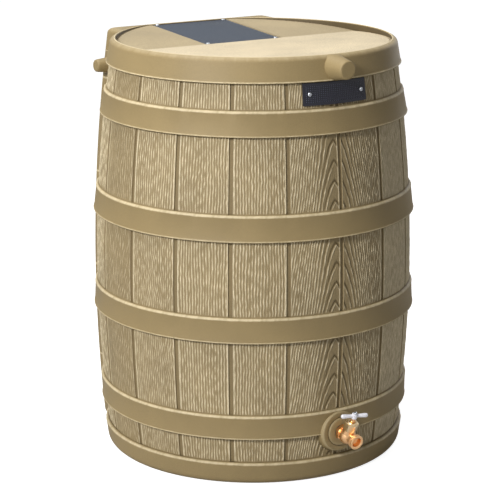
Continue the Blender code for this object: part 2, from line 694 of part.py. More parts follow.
def make_spigot_body():
    """Hexagon, threaded inlet, globe, outlet neck and bonnet neck, then the water ways."""
    body = cone("spigot_body", on_inlet(HEX_BACK), on_inlet(HEX_FRONT),
                HEX_FLATS / math.sqrt(3), HEX_FLATS / math.sqrt(3), 6, BRASS)
    shank = cone("inlet_shank", on_inlet(HEX_BACK - SHANK_LENGTH), on_inlet(HEX_FRONT - GAP),
                 SHANK_RADIUS, SHANK_RADIUS)
    boolean(body, shank, 'UNION')
    bm = bmesh.new()
    bmesh.ops.create_uvsphere(bm, u_segments=ROUND, v_segments=ROUND // 2, radius=GLOBE_RADIUS,
                              matrix=STEM_FRAME @ Matrix.Translation((0, 0, -GLOBE_DROP)))
    boolean(body, add_object("globe", mesh_from("globe", bm)), 'UNION')
    outlet_parts = (("outlet_neck", OUTLET_NECK_START, OUTLET_LENGTH, OUTLET_NECK_RADIUS, 28),
                    ("outlet_thread", OUTLET_LENGTH - OUTLET_THREAD_LENGTH,
                     OUTLET_LENGTH + GAP, OUTLET_THREAD_RADIUS, ROUND))
    for name, start, end, radius, segments in outlet_parts:
        boolean(body, cone(name, on_outlet(start), on_outlet(end), radius, radius, segments),
                'UNION')
    boolean(body, cone("bonnet_neck", on_stem(BONNET_ROOT), on_stem(BONNET_TOP), BONNET_RADIUS,
                       BONNET_RADIUS, 26), 'UNION')
    cut_water_ways(body)
    shade(body)


def cut_water_ways(body):
    start = HEX_BACK - SHANK_LENGTH
    turn = HEX_FRONT - INLET_BORE_END
    foot = on_stem(SEAT_HEIGHT - PORT_DEPTH + PORT_BORE / 2)
    boolean(body, cone("inlet_bore", on_inlet(start - WALL), on_inlet(turn), INLET_BORE,
                       INLET_BORE, 20))
    boolean(body, cone("inlet_turn", on_inlet(turn - INLET_BORE), foot, PORT_BORE, PORT_BORE,
                       16))
    boolean(body, cone("seat_port", on_stem(SEAT_HEIGHT - PORT_DEPTH), on_stem(SEAT_HEIGHT + GAP),
                       PORT_BORE + GAP, PORT_BORE + GAP, 20))
    boolean(body, cone("chamber", on_stem(SEAT_HEIGHT), on_stem(BONNET_TOP + WALL),
                       CHAMBER_RADIUS, CHAMBER_RADIUS, 24))
    boolean(body, cone("outlet_bore", on_outlet(OUTLET_BORE_START),
                       on_outlet(OUTLET_LENGTH + WALL),
                       OUTLET_BORE - GAP, OUTLET_BORE, 24))


def make_packing():
    """Nut screwed over the bonnet neck, with the packing and its friction ring inside it."""
    skirt_bottom = BONNET_TOP - NUT_SKIRT
    hole = STEM_RADIUS + GAP
    nut = cone("packing_nut", on_stem(skirt_bottom), on_stem(NUT_TOP), NUT_FLATS / math.sqrt(3),
               NUT_FLATS / math.sqrt(3), 6, BRASS)
    roof = NUT_TOP - NUT_ROOF
    boolean(nut, cone("nut_bore", on_stem(skirt_bottom - WALL), on_stem(BONNET_TOP + GAP),
                      BONNET_RADIUS + GAP, BONNET_RADIUS + GAP))
    boolean(nut, cone("nut_pocket", on_stem(BONNET_TOP), on_stem(roof), CHAMBER_RADIUS,
                      CHAMBER_RADIUS))
    boolean(nut, cone("nut_hole", on_stem(BONNET_TOP), on_stem(NUT_TOP + WALL), hole, hole))
    shade(nut)
    friction_top = roof - GAP
    friction_bottom = friction_top - FRICTION_RING_THICKNESS
    packing_top = friction_bottom - GAP
    shade(ring("friction_ring", hole, CHAMBER_RADIUS - GAP, friction_bottom, friction_top,
               BRASS, STEM_FRAME))
    shade(ring("stem_packing", hole, CHAMBER_RADIUS - GAP, packing_top - PACKING_THICKNESS,
               packing_top, GRAPHITE, STEM_FRAME))


def make_stem():
    """Stem with its threaded collar, bored below for the washer screw and above for the
    handle screw."""
    foot = SEAT_HEIGHT + GAP + SEAT_WASHER_THICKNESS + GAP
    neck_top = HANDLE_HEIGHT - HANDLE_HUB_LENGTH / 2 - GAP
    top = HANDLE_HEIGHT + HANDLE_HUB_LENGTH / 2 - GAP
    low_bore = WASHER_SCREW_SHANK_RADIUS + GAP
    high_bore = HANDLE_SCREW_SHANK_RADIUS + GAP
    low_end = SEAT_HEIGHT + WASHER_SCREW_LENGTH + GAP
    high_end = top + GAP - HANDLE_SCREW_LENGTH + HANDLE_SCREW_HEAD - GAP
    profile = [(0.0, high_end), (high_bore, high_end), (high_bore, top),
               (STEM_SPIGOT_RADIUS, top), (STEM_SPIGOT_RADIUS, neck_top),
               (STEM_RADIUS, neck_top), (STEM_RADIUS, STEM_COLLAR_TOP),
               (STEM_COLLAR_RADIUS, STEM_COLLAR_TOP),
               (STEM_COLLAR_RADIUS, foot + 2 * STEM_FOOT_LENGTH),
               (STEM_RADIUS, foot + STEM_FOOT_LENGTH), (STEM_RADIUS, foot), (low_bore, foot),
               (low_bore, low_end), (0.0, low_end)]
    shade(turned("stem", profile, BRASS, STEM_FRAME))


def make_seat_washer():
    bottom = SEAT_HEIGHT + GAP
    shade(ring("seat_washer", WASHER_SCREW_SHANK_RADIUS + GAP, SEAT_WASHER_RADIUS, bottom,
               bottom + SEAT_WASHER_THICKNESS, RUBBER, STEM_FRAME, 24))
    r, s = WASHER_SCREW_HEAD_RADIUS, WASHER_SCREW_SHANK_RADIUS
    head = SEAT_HEIGHT
    profile = [(0.0, head + WASHER_SCREW_LENGTH), (s, head + WASHER_SCREW_LENGTH - s),
               (s, head), (r, head), (r, head - WASHER_SCREW_HEAD), (0.0, head - WASHER_SCREW_HEAD)]
    shade(turned("washer_screw", profile, BRASS, STEM_FRAME, SMALL_ROUND))


def make_handle():
    """T handle: a round-ended bar through a hub, bored for the stem's end and its screw."""
    frame = STEM_FRAME @ Matrix.Rotation(math.radians(HANDLE_TURN), 4, 'Z')
    half, r = HANDLE_LENGTH / 2, HANDLE_BAR_RADIUS
    profile = []
    for step in range(5):
        a = math.radians(90.0 * step / 4)
        profile.append((r * math.sin(a), half - r + r * math.cos(a)))
    profile += [(radius, -height) for radius, height in reversed(profile)]
    bar_frame = frame @ Matrix.Translation((0, 0, HANDLE_HEIGHT)) @ Matrix.Rotation(
        math.radians(90.0), 4, 'Y')
    handle = turned("handle", profile, WHITE_METAL, bar_frame, 20)
    low, high = HANDLE_HEIGHT - HANDLE_HUB_LENGTH / 2, HANDLE_HEIGHT + HANDLE_HUB_LENGTH / 2
    boolean(handle, cone("handle_hub", on_stem(low), on_stem(high), HANDLE_HUB_RADIUS,
                         HANDLE_HUB_RADIUS * HANDLE_HUB_TAPER, 24), 'UNION')
    socket = STEM_SPIGOT_RADIUS + GAP
    boolean(handle, cone("hub_bore", on_stem(low - WALL), on_stem(high + WALL), socket, socket,
                         20))
    shade(handle)
    top = high + GAP
    profile = [(0.0, top + HANDLE_SCREW_HEAD), (HANDLE_SCREW_HEAD_RADIUS * SCREW_DOME,
                                                top + HANDLE_SCREW_HEAD),
               (HANDLE_SCREW_HEAD_RADIUS, top + HANDLE_SCREW_HEAD * SCREW_SHOULDER),
               (HANDLE_SCREW_HEAD_RADIUS, top),
               (HANDLE_SCREW_SHANK_RADIUS, top),
               (HANDLE_SCREW_SHANK_RADIUS, top + HANDLE_SCREW_HEAD - HANDLE_SCREW_LENGTH),
               (0.0, top + HANDLE_SCREW_HEAD - HANDLE_SCREW_LENGTH)]
    shade(turned("handle_screw", profile, STEEL, STEM_FRAME, SMALL_ROUND))


clear_scene()
PARTS = new_collection("rain_barrel")
CUTTERS = new_collection("cutters")

RESIN = new_material("moulded_resin", (0.42, 0.34, 0.20), 0.62)
MESH_GREY = new_material("dark_grey_plastic", (0.075, 0.09, 0.115), 0.45)
MESH_BLACK = new_material("black_plastic", (0.02, 0.02, 0.03), 0.4)
STEEL = new_material("zinc_steel", (0.6, 0.62, 0.65), 0.35, 1.0)
BRASS = new_material("brass", (0.80, 0.47, 0.22), 0.28, 1.0)
WHITE_METAL = new_material("white_metal", (0.88, 0.88, 0.88), 0.35)
RUBBER = new_material("black_rubber", (0.02, 0.02, 0.02), 0.8)
GRAPHITE = new_material("graphite_packing", (0.06, 0.06, 0.065), 0.7)

make_tank()
make_hatch_screen()
make_overflow_screen()
make_screws()
make_inlet_parts()
make_spigot_body()
make_packing()
make_stem()
make_seat_washer()
make_handle()
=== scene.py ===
"""Looks of the rain barrel: the moulded staves with their grain, the hoops, rim and deck, the
two perforated screens, the screws and the brass spigot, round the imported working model.

Frame: metres, +Z up, spigot towards -Y, flat back towards +Y.
"""

import math

import bpy
import numpy as np
from mathutils import Matrix, Vector


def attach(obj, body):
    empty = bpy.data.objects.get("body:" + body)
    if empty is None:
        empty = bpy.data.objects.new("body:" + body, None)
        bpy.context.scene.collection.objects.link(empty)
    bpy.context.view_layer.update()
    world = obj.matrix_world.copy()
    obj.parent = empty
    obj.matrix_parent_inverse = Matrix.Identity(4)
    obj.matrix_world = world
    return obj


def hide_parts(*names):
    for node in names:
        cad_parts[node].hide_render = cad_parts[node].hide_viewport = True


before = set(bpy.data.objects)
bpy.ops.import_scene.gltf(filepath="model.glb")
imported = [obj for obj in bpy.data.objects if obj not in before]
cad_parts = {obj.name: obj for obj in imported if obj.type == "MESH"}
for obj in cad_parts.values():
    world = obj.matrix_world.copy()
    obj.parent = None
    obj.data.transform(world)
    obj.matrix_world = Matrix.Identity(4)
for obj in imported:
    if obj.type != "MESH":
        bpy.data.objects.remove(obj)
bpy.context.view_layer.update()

# -------- sizes of the tank
HEIGHT = 0.7905
BELLY_RADIUS = 0.302
BELLY_HEIGHT = 0.345
TOP_RADIUS = 0.8752 * BELLY_RADIUS
BELLY_CURVE = (BELLY_RADIUS - TOP_RADIUS) / (HEIGHT - BELLY_HEIGHT) ** 2
WALL = 0.0055
STAVE_TURN = 20.0              # degrees from seam to seam
LAST_TURN = 121.0              # beyond it the round body runs on to the flat back
GROOVE_DEPTH = 0.0025
GROOVE_HALF = 0.0042           # half width at the stave surface
GROOVE_FLOOR_HALF = 0.0035     # and on the flat floor
BASE_BAND_TOP = 0.0444
BASE_BAND_PROUD = 0.0075
BASE_FACE_PROUD = BASE_BAND_PROUD - 0.0006      # below its lip
BASE_ROUNDING = 0.014
BASE_TURN_IN = 0.013
HOOP_BANDS = ((0.0919, 0.0459), (0.2786, 0.0474), (0.4654, 0.0488), (0.6521, 0.0463))
HOOP_PROUD_LOW = 0.0084
HOOP_PROUD_HIGH = 0.0050
RIM_BAND_BOTTOM = 0.7454
RIM_BAND_PROUD_LOW = 0.0075
RIM_BAND_PROUD_HIGH = 0.0056
RIM_ROUNDING = 0.0085
RIM_LAND = 0.0015
RIM_FACE_DROP = 0.0006         # the rounded edge stays below the raised bead
BACK_PLANE = 0.83775 * BELLY_RADIUS
BACK_HALF_WIDTH = 0.7252 * BELLY_RADIUS
BACK_WIDEST_HEIGHT = 0.31
BACK_CURVE = (BACK_HALF_WIDTH - 0.599 * BELLY_RADIUS) / (HEIGHT - BACK_WIDEST_HEIGHT) ** 2
BACK_CORNER = 0.012
DECK_CREASE_DROP = 0.0135
DECK_EDGE_DROP = 0.0015
DECK_BACK_MARGIN = 0.0035
DECK_THICKNESS = 0.016
DECK_CLEARANCE = 0.00005
FLAT_TURN = 179.0              # points of the flat sides and back carry a turn beyond this
PLAIN_STEP = 0.75              # degrees between the points of a plain ring

# Lips and edges, as (distance along, less proud, unevenness, painted shading) from the band's
# bottom upwards or from its top downwards. Painted shading runs from -1, painted shade in seams
# and under lips, to 1, a painted highlight on a lit ridge or lip.
HOOP_FOOT = ((0.0, 0.0012, 0, -0.6), (0.0005, 0.0002, 0, 0.2), (0.0014, 0.0, 0, 0.75),
             (0.0023, 0.0003, 0, 0.6), (0.0030, 0.0010, 0, 0), (0.0042, 0.0012, 0, 0))
HOOP_LIP = ((0.0072, 0.0002, 0, 0), (0.0056, -0.0003, 0.0002, 0.2), (0.0038, 0.0, 0.0004, 0.9),
            (0.0020, 0.0014, 0.0005, 1), (0.0008, 0.0030, 0.0003, 0.5))
BASE_LIP = ((0.0072, 0.0004, 0, 0), (0.0052, 0.0, 0.0002, 0.3), (0.0034, 0.0004, 0.0005, 0.9),
            (0.0016, 0.0022, 0.0004, 0.9), (0.0004, 0.0050, 0.0001, 0.2))
RIM_FOOT = ((0.0, 0.0012, 0, -0.6), (0.0005, 0.0002, 0, 0.3), (0.0014, 0.0, 0.0002, 0.9),
            (0.0024, 0.0003, 0.0002, 0.7), (0.0033, 0.0012, 0, 0), (0.0048, 0.0014, 0, 0))
LIP_ROOT_PROUD = 0.0002        # where a lip meets the staves
# Raised bead round the deck, as (outwards, down, painted shading), and the wall of the gutter
# below it: a painted highlight on the bead and painted shade down the wall
DECK_BEAD = ((0.0040, 0.0010, 0.1), (0.0028, 0.0002, 0.8), (0.0014, 0.0, 1.0),
             (0.0004, 0.0006, 0.5), (0.0, 0.0020, -0.8), (0.0, DECK_CREASE_DROP + 0.006, -0.8))
GUTTER_STEPS = (0.0010, 0.0012, 0.0012, 0.0012)         # insets of the edge of the deck
GUTTER_DEPTHS = (-0.0004, -0.0022, -0.0026, -0.0016, 0.0)
GUTTER_PAINTED_SHADING = (-0.5, -0.9, -0.8, 0.5, 0.0)
GUTTER_REACH = 0.006

HATCH_WIDTH = 0.168
HATCH_LENGTH = 0.212
HATCH_FRONT_Y = 0.033
HATCH_SINK_FRONT = 0.0158
HATCH_SINK_BACK = 0.0025
HATCH_PLATE = 0.0030
HATCH_CLEARANCE = 0.0015
HATCH_LEDGE = 0.0135
HATCH_SCREW_INSET = 0.0085
HATCH_CELL = 0.0042            # pitch of the square holes
HATCH_MARGIN = 0.0040
SCREEN_BAR = 0.0010            # half the bar between two holes

OVERFLOW_WIDTH = 0.134
OVERFLOW_HEIGHT = 0.0395
OVERFLOW_TOP = RIM_BAND_BOTTOM - 0.0018
OVERFLOW_PLATE = 0.0024
OVERFLOW_SEAT_GAP = 0.0009
OVERFLOW_SCREW_SPAN = 0.109
OVERFLOW_CELLS = (30, 9)
OVERFLOW_MARGIN = 0.0045
GAUZE_DEPTH = 0.0014            # fine gauze in the plate, up from its back

FRONT_PORT_DROP = 0.0228
FRONT_PORT_LENGTH = 0.0375
FRONT_PORT_BURIED = 0.0140
FRONT_PORT_ROOT_RADIUS = 0.0252
FRONT_PORT_END_RADIUS = 0.0165
SIDE_PORT_Y = BACK_PLANE - 0.031
SIDE_PORT_DROP = 0.0685
SIDE_PORT_LENGTH = 0.030
SIDE_PORT_ROOT_RADIUS = 0.0155
SIDE_PORT_END_RADIUS = 0.0118
PORT_ROUNDING = 0.0022
PORT_FLARE = 0.0004
PORT_TOP = HEIGHT - 0.0004     # the front port is cut off level below the rim's bead

SPIGOT_HEIGHT = 0.0945
BOSS_RADIUS = 0.0380
BOSS_BEVEL = 0.0030
BOSS_FACE_PROUD = 0.0125
DISC_RADIUS = 0.0262
DISC_PROUD = 0.0030
DISC_BEVEL = 0.0015
GASKET_THICKNESS = 0.0020
HEX_FLATS = 0.0280
HEX_LENGTH = 0.0080
GLOBE_RADIUS = 0.0155
GLOBE_STAND_OFF = 0.0105
OUTLET_ANGLE = 12.0
OUTLET_LENGTH = 0.0305
OUTLET_NECK_RADIUS = 0.0112
OUTLET_THREAD_RADIUS = 0.0137
OUTLET_BORE = 0.0088
STEM_TILT = 25.0
BONNET_RADIUS = 0.0105
BONNET_TOP = 0.0190
NUT_FLATS = 0.0230
NUT_TOP = 0.0340
NUT_SKIRT = 0.0035
NUT_BOSS_HEIGHT = 0.0030
NUT_ROOF = 0.0030
CHAMBER_RADIUS = 0.0078
STEM_RADIUS = 0.00475
HANDLE_HEIGHT = 0.0478
HANDLE_LENGTH = 0.0540
HANDLE_BAR_RADIUS = 0.0041
HANDLE_HUB_RADIUS = 0.0058
HANDLE_HUB_LENGTH = 0.0100
HANDLE_TOP = HANDLE_HEIGHT + HANDLE_HUB_LENGTH / 2
HANDLE_TURN = -10.0
SCREW_HEAD_RADIUS = 0.0038
SCREW_HEAD_HEIGHT = 0.0026
HANDLE_SCREW_RADIUS = 0.0037
HANDLE_SCREW_HEIGHT = 0.0024
SCREW_SHANK_RADIUS = 0.0019
SCREW_SHANK_LENGTH = 0.006
SCREW_POINT = 0.0015
GAP = 0.0003

# Relief of the staves
ROW_STEP = 0.0026              # height of one row of the fine skin
COLUMN_STEP = 0.00100          # width of one column
GRAIN_RELIEF = 0.0012
GRAIN_END = 0.003              # over which the grain fades out under a hoop
EDGE_BEAD = 0.0004             # raised edge beside each seam
EDGE_BEAD_OFFSET = 0.0008
EDGE_BEAD_WIDTH = 0.0009
EDGE_FADE = 0.0010
GRIT = 0.00012
# painted shade on the floor of each groove
GROOVE_PAINTED_SHADE = -0.30
SANDY_LIFT = 0.3               # fine grain leaves the stave higher between its ridges
CURLY_TIERS = 3                # the curl shows below this many tiers
STROKE_LENGTH = (0.018, 0.050)
RIDGES = 400                   # random ridge lengths, used over and over
ARCH_PERIOD = 0.036            # height of one pointed arch
ARCH_INSET = 0.012             # seam to the points of the arches
ARCH_REACH = 0.046             # width over which its leg straightens
ARCH_LINES = 30                # ridges per metre across the points
LEG_LINES = 1 / 0.0050         # and across the straight legs
CRACK_REACH = 0.75 * ARCH_REACH
CRACK_OFFSET = 0.0028          # a dark crack beside each ridge of the arches
CRACK_WIDTH = 0.0016
CRACK_DEPTH = 1.3
SEED = 12

# Slow ripples that every line of grain follows, as (height, width, length)
WANDER = ((0.0008, 0.09, 0.16), (0.0003, 0.04, 0.02))
# Grain of each stave, numbered from the front seam: its own ripples or none, ridge to ridge,
# ridge width and depth
STRAIGHT = (None, 0.0054, 0.0011, 1.0)
CURLY = ((0.0006, 0.045, 0.03), 0.0048, 0.0011, 0.8)
KNOTTY = ((0.0022, 0.06, 0.05), 0.0066, 0.0011, 0.6)
SANDY = ((0.0006, 0.03, 0.02), 0.0036, 0.0009, 0.75)
STYLES = {-5: KNOTTY, -4: CURLY, 1: SANDY, 2: SANDY, 4: CURLY, 5: KNOTTY}
ARCHED = (-1, 0)


# -------- modelling helpers
def deselect():
    if bpy.context.mode != 'OBJECT':
        bpy.ops.object.mode_set(mode='OBJECT')
    bpy.ops.object.select_all(action='DESELECT')


def activate(obj):
    deselect()
    obj.select_set(True)
    bpy.context.view_layer.objects.active = obj


def edit(obj, mode='VERT'):
    activate(obj)
    bpy.ops.object.mode_set(mode='EDIT')
    bpy.ops.mesh.select_mode(type=mode)
    bpy.ops.mesh.select_all(action='SELECT')


def close_up(obj):
    """Merges doubled points and turns every face outwards."""
    edit(obj)
    bpy.ops.mesh.remove_doubles(threshold=1e-6)
    bpy.ops.mesh.normals_make_consistent(inside=False)
    bpy.ops.object.mode_set(mode='OBJECT')


def place(obj, matrix):
    obj.data.transform(matrix)
    obj.data.update()


def apply_modifier(obj, kind, **settings):
    activate(obj)
    modifier = obj.modifiers.new(kind.title(), kind)
    for key, value in settings.items():
        setattr(modifier, key, value)
    bpy.ops.object.modifier_apply(modifier=modifier.name)


def finish(obj, body, slot, material, *nodes, degrees=35.0):
    """Shades a finished piece, gives it its material and lets it ride on its body."""
    activate(obj)
    bpy.ops.object.shade_smooth_by_angle(angle=math.radians(degrees))
    obj.data.materials.clear()
    obj.data.materials.append(material)
    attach(obj, body)
    if nodes:
        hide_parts(*nodes)
    return obj


def aim(origin, direction):
    turn = Vector(direction).normalized().to_track_quat('Z', 'Y')
    return Matrix.Translation(origin) @ turn.to_matrix().to_4x4()


def turned(name, profile, matrix, steps=48):
    """Spins a (radius, height) profile that starts and ends on the axis, or is a closed ring."""
    mesh = bpy.data.meshes.new(name)
    edges = [(i, i + 1) for i in range(len(profile) - 1)]
    if profile[0][0] > 0.0:
        edges.append((len(profile) - 1, 0))
    mesh.from_pydata([(r, 0.0, z) for r, z in profile], edges, [])
    obj = bpy.data.objects.new(name, mesh)
    bpy.context.scene.collection.objects.link(obj)
    edit(obj)
    bpy.ops.mesh.spin(steps=steps, angle=2 * math.pi, center=(0, 0, 0), axis=(0, 0, 1))
    close_up(obj)
    place(obj, matrix)
    return obj


def quarter(start=0, steps=3):
    """Cosine and sine of equal steps up to a right angle, for a rounded edge."""
    for step in range(start, steps + 1):
        a = math.pi / 2 * step / steps
        yield math.cos(a), math.sin(a)


def joined(name, *pieces):
    activate(pieces[0])
    for piece in pieces[1:]:
        piece.select_set(True)
    bpy.ops.object.join()
    pieces[0].name = pieces[0].data.name = name
    return pieces[0]


def boolean(obj, tool, operation='DIFFERENCE'):
    apply_modifier(obj, 'BOOLEAN', operation=operation, solver='EXACT', object=tool)
    bpy.data.objects.remove(tool)


def just_made(name):
    obj = bpy.context.object
    obj.name = obj.data.name = name
    return obj


def block(name, low, high):
    low, high = Vector(low), Vector(high)
    deselect()
    bpy.ops.mesh.primitive_cube_add(size=1.0, location=(low + high) / 2)
    obj = just_made(name)
    obj.scale = high - low
    bpy.ops.object.transform_apply(location=True, rotation=True, scale=True)
    return obj


def grid(name, columns, rows, width=1.0, height=1.0):
    deselect()
    bpy.ops.mesh.primitive_grid_add(x_subdivisions=columns, y_subdivisions=rows, size=1.0)
    obj = just_made(name)
    obj.scale = (width, height, 1.0)
    bpy.ops.object.transform_apply(location=False, rotation=False, scale=True)
    return obj


def filled_outline(name, outline, height):
    """Flat face with a plan outline, made from a filled circle of as many points."""
    deselect()
    bpy.ops.mesh.primitive_circle_add(vertices=len(outline), radius=1.0, fill_type='NGON')
    obj = just_made(name)
    angles = np.array([math.atan2(v.co.x, -v.co.y) for v in obj.data.vertices])
    # the leeway keeps the front point, at no turn, first
    order = np.argsort((angles + 1e-4) % (2 * math.pi))
    for point, vertex in zip(outline, order):
        obj.data.vertices[int(vertex)].co = (*point, height)
    edit(obj, 'FACE')
    return obj


def thicken(obj, rise):
    edit(obj, 'FACE')
    bpy.ops.mesh.extrude_region_move(TRANSFORM_OT_translate={"value": (0, 0, rise)})
    close_up(obj)


def painted_light_attribute(obj):
    """Painted shade and painted highlight at each point, which the resin materials turn into a
    colour.
    """
    return obj.data.attributes.new("painted_light", 'FLOAT', 'POINT').data


def wrapped_sheet(name, rows, painted_light):
    """A flat sheet wrapped round the barrel and back on itself: a closed shell. Each row is the
    plan ring of points at one line of the section, and painted_light holds the painted shade and
    painted highlight of each point."""
    rows = np.asarray(rows, float)
    count_up, count_round = rows.shape[:2]
    obj = grid(name, count_round, count_up)
    flat = np.empty(len(obj.data.vertices) * 3)
    obj.data.vertices.foreach_get("co", flat)
    flat = flat.reshape(-1, 3)
    around = np.rint((flat[:, 0] + 0.5) * count_round).astype(int) % count_round
    up = np.rint((flat[:, 1] + 0.5) * count_up).astype(int) % count_up
    obj.data.vertices.foreach_set("co", rows[up, around].ravel())
    painted_light_attribute(obj).foreach_set("value", painted_light[up, around].astype(np.float32))
    close_up(obj)
    return obj


# -------- plan of the barrel
def stave_radius(z):
    return BELLY_RADIUS - BELLY_CURVE * (z - BELLY_HEIGHT) ** 2


def back_half_width(z):
    return BACK_HALF_WIDTH - BACK_CURVE * (z - BACK_WIDEST_HEIGHT) ** 2


def fine_turns():
    """Angles of the fine skin's columns, with close pairs at the walls of every groove."""
    metre = math.degrees(1 / BELLY_RADIUS)
    pair = [GROOVE_FLOOR_HALF * metre, GROOVE_HALF * metre]
    columns = round((STAVE_TURN / metre - 2 * GROOVE_HALF) / COLUMN_STEP)
    turns = []
    for stave in range(7):
        seam = stave * STAVE_TURN
        if stave:
            turns += [seam - pair[1], seam - pair[0], seam - pair[0] / 2]
        turns += [seam, seam + pair[0] / 2, seam + pair[0], seam + pair[1]]
        if stave < 6:
            step = (STAVE_TURN - 2 * pair[1]) / columns
            turns += [seam + pair[1] + step * i for i in range(1, columns)]
    return np.array(turns)


def plan_stations(turns, tail):
    """Where the points of half a ring lie: on the round arc, on its tail up to the flat side, on
    the side, round the back corner and along the back."""
    return {"arc": np.asarray(turns, float), "tail": np.linspace(0, 1, tail + 1)[1:],
            "side": np.linspace(0, 1, 4)[1:], "corner": np.linspace(0, 90, 7)[1:],
            "back": np.linspace(0, 1, 9)[1:]}


FINE = plan_stations(fine_turns(), 60)
PLAIN = plan_stations(np.arange(0.0, LAST_TURN, PLAIN_STEP), 12)


def mirrored(x, y, turn):
    """Adds the left half to the right half of a plan ring, which starts at the front."""
    return (np.concatenate([x, -x[-2:0:-1]]), np.concatenate([y, y[-2:0:-1]]),
            np.concatenate([turn, -turn[-2:0:-1]]))


def plan_ring(z, proud=0.0, inset=0.0, at=FINE):
    """x, y and angle from the front of each point of the outline at a height. The flat sides and
    back carry no angle (180 degrees), and nothing stands proud there."""
    radius = stave_radius(z) + proud - inset
    half, back = back_half_width(z) - inset, BACK_PLANE - inset
    meet_y = math.sqrt(radius ** 2 - half ** 2)
    meet = 180.0 - math.degrees(math.atan2(half, meet_y))
    last = at["arc"][-1]
    turn = np.concatenate([at["arc"], last + (meet - last) * at["tail"]])
    a, c = np.radians(turn), np.radians(at["corner"])
    x = np.concatenate([radius * np.sin(a), np.full(len(at["side"]), half),
                        half - BACK_CORNER * (1 - np.cos(c)),
                        (half - BACK_CORNER) * (1 - at["back"])])
    y = np.concatenate([-radius * np.cos(a),
                        meet_y + (back - BACK_CORNER - meet_y) * at["side"],
                        back - BACK_CORNER * (1 - np.sin(c)),
                        np.full(len(at["back"]), back)])
    turn = np.concatenate([turn, np.full(len(x) - len(turn), 180.0)])
    return mirrored(x, y, turn)


def ring_points(z, proud=0.0, inset=0.0, at=PLAIN):
    x, y, turn = plan_ring(z, proud, inset, at)
    return np.stack([x, y, np.full(len(x), z)], axis=1)


DECK_RADIUS = stave_radius(HEIGHT) + RIM_BAND_PROUD_HIGH - RIM_ROUNDING - RIM_LAND
DECK_BACK_Y = BACK_PLANE - RIM_ROUNDING - DECK_BACK_MARGIN
DECK_CREASE_Y = HATCH_FRONT_Y - HATCH_CLEARANCE


def deck_height(y):
    y = np.asarray(y, float)
    far = np.where(y < DECK_CREASE_Y, -DECK_RADIUS, DECK_BACK_Y)
    share = (y - DECK_CREASE_Y) / (far - DECK_CREASE_Y)
    return HEIGHT - DECK_CREASE_DROP + share * (DECK_CREASE_DROP - DECK_EDGE_DROP)


def deck_ring(grow, z):
    """Ring round the edge of the deck, with as many points as the barrel's own plain rings."""
    radius, back = DECK_RADIUS + grow, DECK_BACK_Y + grow
    corner_x = math.sqrt(radius ** 2 - back ** 2)
    corner = 180.0 - math.degrees(math.atan2(corner_x, back))
    arc, along_back = PLAIN["arc"], PLAIN["back"]
    extra = len(PLAIN["tail"]) + len(PLAIN["side"]) + len(PLAIN["corner"])
    turn = np.concatenate([arc, arc[-1] + (corner - arc[-1]) * np.arange(1, extra + 1) / extra])
    x = np.concatenate([radius * np.sin(np.radians(turn)), corner_x * (1 - along_back)])
    y = np.concatenate([-radius * np.cos(np.radians(turn)), np.full(len(along_back), back)])
    x, y, _ = mirrored(x, y, x)
    return np.stack([x, y, np.full(len(x), z)], axis=1)


# -------- grain of the staves
def ripples(rng, across, up, height, across_wave, up_wave, count=5):
    """Smooth random waves of about a given height and wavelengths, in metres."""
    total = np.zeros(np.broadcast(across, up).shape)
    for _ in range(count):
        a = across / (across_wave * rng.uniform(0.7, 1.5))
        b = up / (up_wave * rng.uniform(0.7, 1.5))
        total += np.sin(2 * math.pi * (a * rng.choice((-1, 1)) + b) + rng.uniform(0, 6.28))
    return total * height / math.sqrt(count)


def stroke_lengths(rng, ridge, up):
    """How tall each ridge stands along its length, broken into short strokes."""
    wave = rng.uniform(*STROKE_LENGTH, RIDGES)[ridge % RIDGES]
    phase = rng.uniform(0, 6.28, RIDGES)[ridge % RIDGES]
    low, high = rng.uniform(0.3, 0.7, RIDGES)[ridge % RIDGES], 1.1
    swing = 0.5 + 0.5 * np.sin(2 * math.pi * up / wave + phase)
    swing = swing * (0.75 + 0.25 * np.sin(2 * math.pi * up / (wave * 0.37) + 2.1 * phase))
    return low + (high - low) * swing


def stave_grain(stave, tier, across, up, half_width):
    """Height of the moulded grain over one stave, from 0 to 1, and below 0 in its cracks."""
    rng = np.random.default_rng(SEED + 31 * (stave + 20) + 7 * tier)
    style = STYLES.get(stave, STRAIGHT)
    if style is CURLY and tier >= CURLY_TIERS:
        style = STRAIGHT
    waves, pitch, width, depth = style
    line = across
    for wave in WANDER + ((waves,) if waves else ()):
        line = line + ripples(rng, across, up, *wave)
    count, slope, cracks = line / pitch, 1 / pitch, 0.0
    if stave in ARCHED:
        # pointed arches stacked up the seam, whose legs run down into the straight grain
        left = stave < 0
        from_seam = np.abs(half_width - (line if left else -line) - ARCH_INSET * left)
        more = LEG_LINES - ARCH_LINES
        share = np.clip(from_seam / ARCH_REACH, 0, 1)
        count = (from_seam * ARCH_LINES + more * ARCH_REACH * share ** 2 / 2
                 + more * np.clip(from_seam - ARCH_REACH, 0, None) + up / ARCH_PERIOD
                 + rng.uniform(0, 1))
        slope = np.hypot(ARCH_LINES + more * share, 1 / ARCH_PERIOD)
        cracks = 1 - np.clip(from_seam / CRACK_REACH, 0, 1)
    ridge = np.floor(count).astype(int)
    away = (count - ridge - 0.5) / slope
    height = np.exp(-(away / width) ** 2) * stroke_lengths(rng, ridge, up) * depth
    if style is SANDY:
        height = height + SANDY_LIFT
    return height - cracks * CRACK_DEPTH * np.exp(-((away - CRACK_OFFSET) / CRACK_WIDTH) ** 2)


